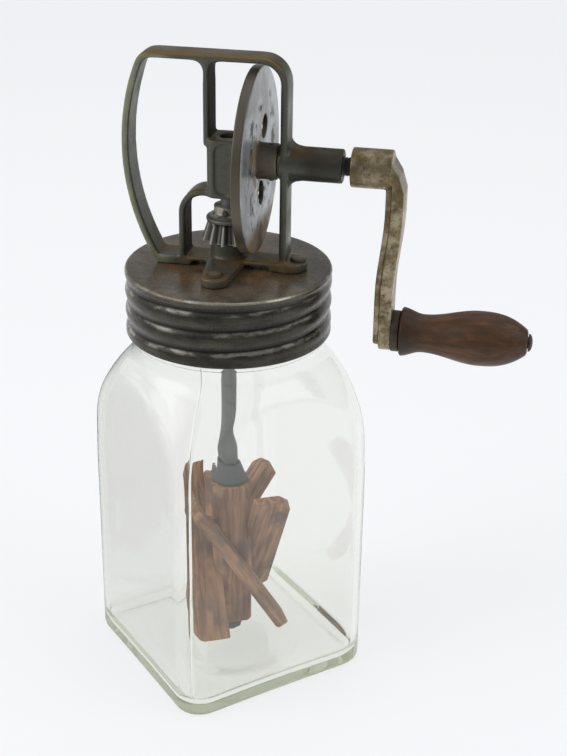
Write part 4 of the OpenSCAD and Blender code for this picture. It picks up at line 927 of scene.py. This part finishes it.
# Iron, blackened by hands: dark brown-grey, with a patchy sheen.
black_iron, tree = new_material("blackened_iron")
where = node(tree, "TexCoord").outputs
film = node(tree, "TexNoise",
            {"Vector": where["Object"], "Scale": 1 / (2.5 * MM), "Detail": 5.0, "Roughness": 0.5}).outputs[0]
ground = node(tree, "Mix", {0: film, 6: "2c2620", 7: "5a5040"}, data_type="RGBA").outputs[2]
gloss = node(tree, "MapRange", film, 0.0, 1.0, 0.3, 0.65).outputs[0]
relief = node(tree, "Bump", {"Height": film, "Strength": 0.2, "Distance": 0.2 * MM}).outputs[0]
skin = node(tree, "BsdfPrincipled",
            {"Base Color": ground, "Metallic": 0.6, "Roughness": gloss, "Normal": relief})
node(tree, "OutputMaterial", skin.outputs[0])
dress(collar, black_iron, "crank", "collar_steel", "handle_collar")
dress(spindle, black_iron, "crank", "spindle_steel", "handle_spindle")

# Grip
# A turned hardwood grip that spins on its spindle: a flange by the collar, a waist for two fingers,
# a full belly and a small end.
GRIP_FROM = 89.6
GRIP_LENGTH = 64.0
GRIP_BORE = 3.06
GRIP_FLANGE = 12.6
GRIP_WAIST = 9.7
GRIP_BELLY = 13.9
GRIP_END = 6.1
GRIP_WAIST_AT = 11.5
GRIP_BELLY_AT = 40.0
GRIP_FULLNESS = 2.6
DIRTY_FLANGE = (15 * MM, 3 * MM)
DIRTY_END = (55 * MM, 64 * MM)


def eased(a, b, t):
    """Smooth step from a to b."""
    return a + (b - a) * (1 - math.cos(math.pi * t)) / 2


def grip_radius(x):
    """Radius of the grip at a distance from its flange."""
    if x < GRIP_WAIST_AT:
        return eased(GRIP_FLANGE, GRIP_WAIST, x / GRIP_WAIST_AT)
    if x < GRIP_BELLY_AT:
        return eased(GRIP_WAIST, GRIP_BELLY, (x - GRIP_WAIST_AT) / (GRIP_BELLY_AT - GRIP_WAIST_AT))
    fall = (x - GRIP_BELLY_AT) / (GRIP_LENGTH - GRIP_BELLY_AT)
    return GRIP_BELLY - (GRIP_BELLY - GRIP_END) * fall ** GRIP_FULLNESS


GRIP_LINE = [(GRIP_BORE, 0.0), (GRIP_FLANGE - 1.6, 0.0), (GRIP_FLANGE - 0.7, 0.25), (GRIP_FLANGE - 0.15, 0.8)]
GRIP_STOPS = [1.4 + (GRIP_LENGTH - 2.0) * math.sin(t) for t in spaced(0.0, math.pi / 2, 56)]
GRIP_LINE += [(grip_radius(x), x) for x in GRIP_STOPS]
GRIP_LINE += [(GRIP_END - 0.3, GRIP_LENGTH - 0.2), (GRIP_END - 0.9, GRIP_LENGTH), (GRIP_BORE, GRIP_LENGTH)]
grip = drawn_rings("wooden_grip", 72, len(GRIP_LINE),
                   about_line(GRIP_LINE, (GRIP_FROM, 0, HANDLE_Z), *X_AXIS), joined=True)
bpy.ops.object.shade_smooth_by_angle(angle=math.radians(50))

# Beech, turned and oiled: mid brown, darker with dirt by the flange and the end, and polished by the
# hand. Its fine pores run along the grip, drawn coarse enough to show.
oiled_beech, tree = new_material("oiled_beech")
where = node(tree, "TexCoord").outputs
centred = node(tree, "Mapping",
               {"Vector": where["Object"], "Location": (-GRIP_FROM * MM, 0, -HANDLE_Z * MM)}).outputs[0]
fibres = node(tree, "Mapping", {"Vector": centred, "Scale": (0.12, 1.0, 1.0)}).outputs[0]
grain = node(tree, "TexNoise", {"Vector": fibres, "Scale": 1 / (3.2 * MM), "Detail": 6.0, "Roughness": 0.6,
                                "Distortion": 0.4}).outputs[0]
pores = node(tree, "TexNoise",
             {"Vector": fibres, "Scale": 1 / (0.7 * MM), "Detail": 3.0, "Roughness": 0.5}).outputs[0]
blotch = node(tree, "TexNoise",
              {"Vector": centred, "Scale": 1 / (16 * MM), "Detail": 4.0, "Roughness": 0.5}).outputs[0]
ground = stained(tree, "3c2713", "5f3f25", grain, 0.32, 0.68)
ground = stained(tree, ground, "3d2a1a", blotch, 0.48, 0.66, 0.6)
lengthwise = node(tree, "SeparateXYZ", centred).outputs["X"]
ground = stained(tree, ground, "2a1e17", lengthwise, *DIRTY_FLANGE, 0.65)
ground = stained(tree, ground, "35241a", lengthwise, *DIRTY_END, 0.5)
ground = stained(tree, ground, "2c1d14", pores, 0.58, 0.72, 0.5)
gloss = node(tree, "MapRange", blotch, 0.3, 0.7, 0.36, 0.52).outputs[0]
relief = node(tree, "Bump", {"Height": pores, "Strength": 0.12, "Distance": 0.15 * MM}).outputs[0]
skin = node(tree, "BsdfPrincipled",
            {"Base Color": ground, "Roughness": gloss, "Specular IOR Level": 0.35, "Normal": relief})
node(tree, "OutputMaterial", skin.outputs[0])
dress(grip, oiled_beech, "handle", "grip_wood", "handle_grip")

# Pinion
# A small cast bevel pinion in mesh with the gear, pinned on the upright shaft. A flange closes the
# tops of its teeth, and its hub is worn pale.
PINION_TOP = 263.2
TEETH_SPAN = ((PINION_TOP - 7.5) * MM, (PINION_TOP - 10.0) * MM)
PALE_HUB = ((PINION_TOP - 5.6) * MM, (PINION_TOP - 4.2) * MM)
pinion = cast_copy("bevel_pinion", "pinion", grain_size=0.34, passes=3)

# Cast iron under old grease: near black between the teeth, pale on the teeth, partly rubbed and
# partly a painted highlight, and rubbed pale on the hub.
greasy_iron, tree = new_material("greasy_cast_iron")
where = node(tree, "TexCoord").outputs
place = node(tree, "SeparateXYZ", where["Object"]).outputs
shape = node(tree, "NewGeometry").outputs
grease = node(tree, "TexNoise", {"Vector": where["Object"], "Scale": 1 / (2.4 * MM), "Detail": 5.0,
                                 "Roughness": 0.6}).outputs[0]
smears = node(tree, "TexNoise", {"Vector": where["Object"], "Scale": 1 / (5.0 * MM), "Detail": 5.0,
                                 "Roughness": 0.6}).outputs[0]
ground = node(tree, "Mix", {0: grease, 6: "2a2925", 7: "4a4841"}, data_type="RGBA").outputs[2]
on_teeth = node(tree, "MapRange", place["Z"], *TEETH_SPAN, 0.35, 1.0, **SMOOTH).outputs[0]
# Pale on the teeth: partly rubbed, partly a painted highlight.
rubbed_and_highlight = narrowed(tree, on_teeth, shape["Pointiness"], 0.48, 0.53)
ground = node(tree, "Mix", {0: rubbed_and_highlight, 6: ground, 7: "a2a094"}, data_type="RGBA").outputs[2]
on_hub = node(tree, "MapRange", place["Z"], *PALE_HUB, **SMOOTH).outputs[0]
on_hub = narrowed(tree, on_hub, smears, 0.38, 0.52, 0.1, 0.85)
pale = node(tree, "Mix", {0: grease, 6: "8f8877", 7: "cbc4b2"}, data_type="RGBA").outputs[2]
ground = node(tree, "Mix", {0: on_hub, 6: ground, 7: pale}, data_type="RGBA").outputs[2]
gloss = node(tree, "MapRange", grease, 0.0, 1.0, 0.3, 0.6, **SMOOTH).outputs[0]
skin = node(tree, "BsdfPrincipled", {"Base Color": ground, "Metallic": 0.5, "Roughness": gloss})
node(tree, "OutputMaterial", skin.outputs[0])
dress(pinion, greasy_iron, "dasher", "pinion_iron", "pinion")

# Dasher shaft
# A steel rod from the block through the boss and the lid down to the paddles. The pinion turns it,
# and the paddles are nutted on its foot.
DASHER_R = 4.0
DASHER_LOW = 10.0
DASHER_HIGH = 280.75
DASHER_EASE = 0.6
WET_SPAN = (132 * MM, 112 * MM)
dasher_shaft = turned_rod("dasher_rod", [(DASHER_R, 0), (DASHER_R, DASHER_HIGH - DASHER_LOW)], DASHER_EASE,
                          (0, 0, DASHER_LOW), Z_AXIS)

# Mild steel, washed by the cream: pale grey with a dull film, and darker low down.
washed_steel, tree = new_material("washed_mild_steel")
where = node(tree, "TexCoord").outputs
place = node(tree, "SeparateXYZ", where["Object"]).outputs
film = node(tree, "TexNoise",
            {"Vector": where["Object"], "Scale": 1 / (4 * MM), "Detail": 5.0, "Roughness": 0.6}).outputs[0]
ground = node(tree, "Mix", {0: film, 6: "6a6c6b", 7: "8f918f"}, data_type="RGBA").outputs[2]
wet = node(tree, "MapRange", place["Z"], *WET_SPAN, 0.0, 0.75, **SMOOTH).outputs[0]
ground = node(tree, "Mix", {0: wet, 6: ground, 7: "484a4e"}, data_type="RGBA").outputs[2]
gloss = node(tree, "MapRange", film, 0.0, 1.0, 0.4, 0.6, **SMOOTH).outputs[0]
skin = node(tree, "BsdfPrincipled", {"Base Color": ground, "Metallic": 0.4, "Roughness": gloss})
node(tree, "OutputMaterial", skin.outputs[0])
dress(dasher_shaft, washed_steel, "dasher", "shaft_steel", "dasher_shaft")

# Paddle socket, washer and nut
# Three steel pieces that clamp the wooden hub on the shaft: a flared socket above, and a washer
# and a six-sided nut below.
HUB_TOP = 105.9
HUB_LOW = 18.9
SOCKET_TOP = 116.9
SOCKET_R = 8.6
SOCKET_NECK = 5.4
SOCKET_RIM = 2.0
SOCKET_EASE = 0.5
WASHER_R = 8.5
SHAFT_HOLE = 4.02
WASHER_T = 1.4
WASHER_EASE = 0.3
NUT_H = 5.5
NUT_CORNER = 7.0
NUT_CHAMFER = 0.9
NUT_TOP = HUB_LOW - WASHER_T
NUT_LOW = NUT_TOP - NUT_H
NUT_FLAT = NUT_CORNER * math.cos(math.pi / 6)
SOCKET_CORNERS = [(SHAFT_HOLE, HUB_TOP), (SOCKET_R, HUB_TOP), (SOCKET_R, HUB_TOP + SOCKET_RIM),
                  (SOCKET_NECK, SOCKET_TOP), (SHAFT_HOLE, SOCKET_TOP)]
WASHER_CORNERS = [(SHAFT_HOLE, NUT_TOP), (WASHER_R, NUT_TOP), (WASHER_R, HUB_LOW), (SHAFT_HOLE, HUB_LOW)]
socket = turned_ring("hub_socket", SOCKET_CORNERS, SOCKET_EASE, about_z, 48)
washer = turned_ring("hub_washer", WASHER_CORNERS, WASHER_EASE, about_z, 48)
NUT_LINE = [(SHAFT_HOLE, NUT_TOP), (NUT_FLAT - 0.4, NUT_TOP), (NUT_CORNER, NUT_TOP - NUT_CHAMFER),
            (NUT_CORNER, NUT_LOW + NUT_CHAMFER), (NUT_FLAT - 0.4, NUT_LOW), (SHAFT_HOLE, NUT_LOW)]


def nut_place(ring, angle):
    """Point of the nut: six flats whose corners are turned off at both ends."""
    radius, z = NUT_LINE[ring]
    flat_reach = NUT_FLAT / math.cos((angle + math.pi / 6) % (math.pi / 3) - math.pi / 6)
    radius = min(radius, flat_reach)
    return Vector((radius * math.cos(angle), radius * math.sin(angle), z)) * MM


nut = drawn_rings("hub_nut", 48, len(NUT_LINE), nut_place, joined=True)
bpy.ops.object.shade_smooth_by_angle(angle=math.radians(30))
for fitting, solid in ((socket, "paddle_socket"), (washer, "paddle_washer"), (nut, "paddle_nut")):
    dress(fitting, washed_steel, "dasher", "socket_steel", solid)

# Paddles
# A square wooden hub with four slanted blades let into slots in its sides. The wood is bare and
# stained red-brown by use.
BLADE_MIDDLE = 61.9
BLADE_SLANT = math.radians(31)
PADDLE_TURN = math.radians(27)
EASE = 0.7


def planed_copy(name, solid, turn):
    """A planed wooden piece over a solid: a merged copy with its edges eased, and its own grain."""
    piece = merged_copy(name, solid)
    bpy.ops.object.mode_set(mode="EDIT")
    bpy.ops.mesh.select_all(action="SELECT")
    bpy.ops.mesh.dissolve_limited(angle_limit=math.radians(2))
    bpy.ops.object.mode_set(mode="OBJECT")
    planed = piece.modifiers.new("planed", "BEVEL")
    planed.width = EASE * MM
    planed.segments = 3
    planed.limit_method = "ANGLE"
    planed.angle_limit = math.radians(35)
    bpy.ops.object.modifier_apply(modifier="planed")
    bpy.ops.object.shade_smooth_by_angle(angle=math.radians(40))
    grain_line = piece.data.attributes.new("grain", "FLOAT_VECTOR", "POINT")
    for vertex, entry in zip(piece.data.vertices, grain_line.data):
        entry.vector = turn @ (vertex.co - Vector((0, 0, BLADE_MIDDLE * MM)))
    return piece


# Beech, planed and soaked in use: red-brown, open grain, no finish, greyer in damp patches.
soaked_beech, tree = new_material("soaked_beech")
along = node(tree, "Attribute", attribute_name="grain").outputs["Vector"]
fibres = node(tree, "Mapping", {"Vector": along, "Scale": (1.0, 1.0, 0.1)}).outputs[0]
grain = node(tree, "TexNoise", {"Vector": fibres, "Scale": 1 / (2.6 * MM), "Detail": 6.0, "Roughness": 0.6,
                                "Distortion": 0.3}).outputs[0]
blotch = node(tree, "TexNoise",
              {"Vector": along, "Scale": 1 / (18 * MM), "Detail": 3.0, "Roughness": 0.5}).outputs[0]
ground = stained(tree, "7a5741", "b68e6e", grain, 0.3, 0.7)
ground = stained(tree, ground, "64544c", blotch, 0.46, 0.64, 0.75)
relief = node(tree, "Bump", {"Height": grain, "Strength": 0.3, "Distance": 0.25 * MM}).outputs[0]
skin = node(tree, "BsdfPrincipled", {"Base Color": ground, "Roughness": 0.75, "Normal": relief})
node(tree, "OutputMaterial", skin.outputs[0])

hub = planed_copy("paddle_block", "paddle_hub", Matrix.Rotation(-PADDLE_TURN, 3, "Z"))
dress(hub, soaked_beech, "dasher", "paddle_wood", "paddle_hub")
for count in range(4):
    turn = Matrix.Rotation(BLADE_SLANT, 3, "Y") @ Matrix.Rotation(-PADDLE_TURN - math.pi / 2 * count, 3, "Z")
    solid = "paddle_blade_%d" % (count + 1)
    board = planed_copy("paddle_board_%d" % (count + 1), solid, turn)
    dress(board, soaked_beech, "dasher", "paddle_wood", solid)
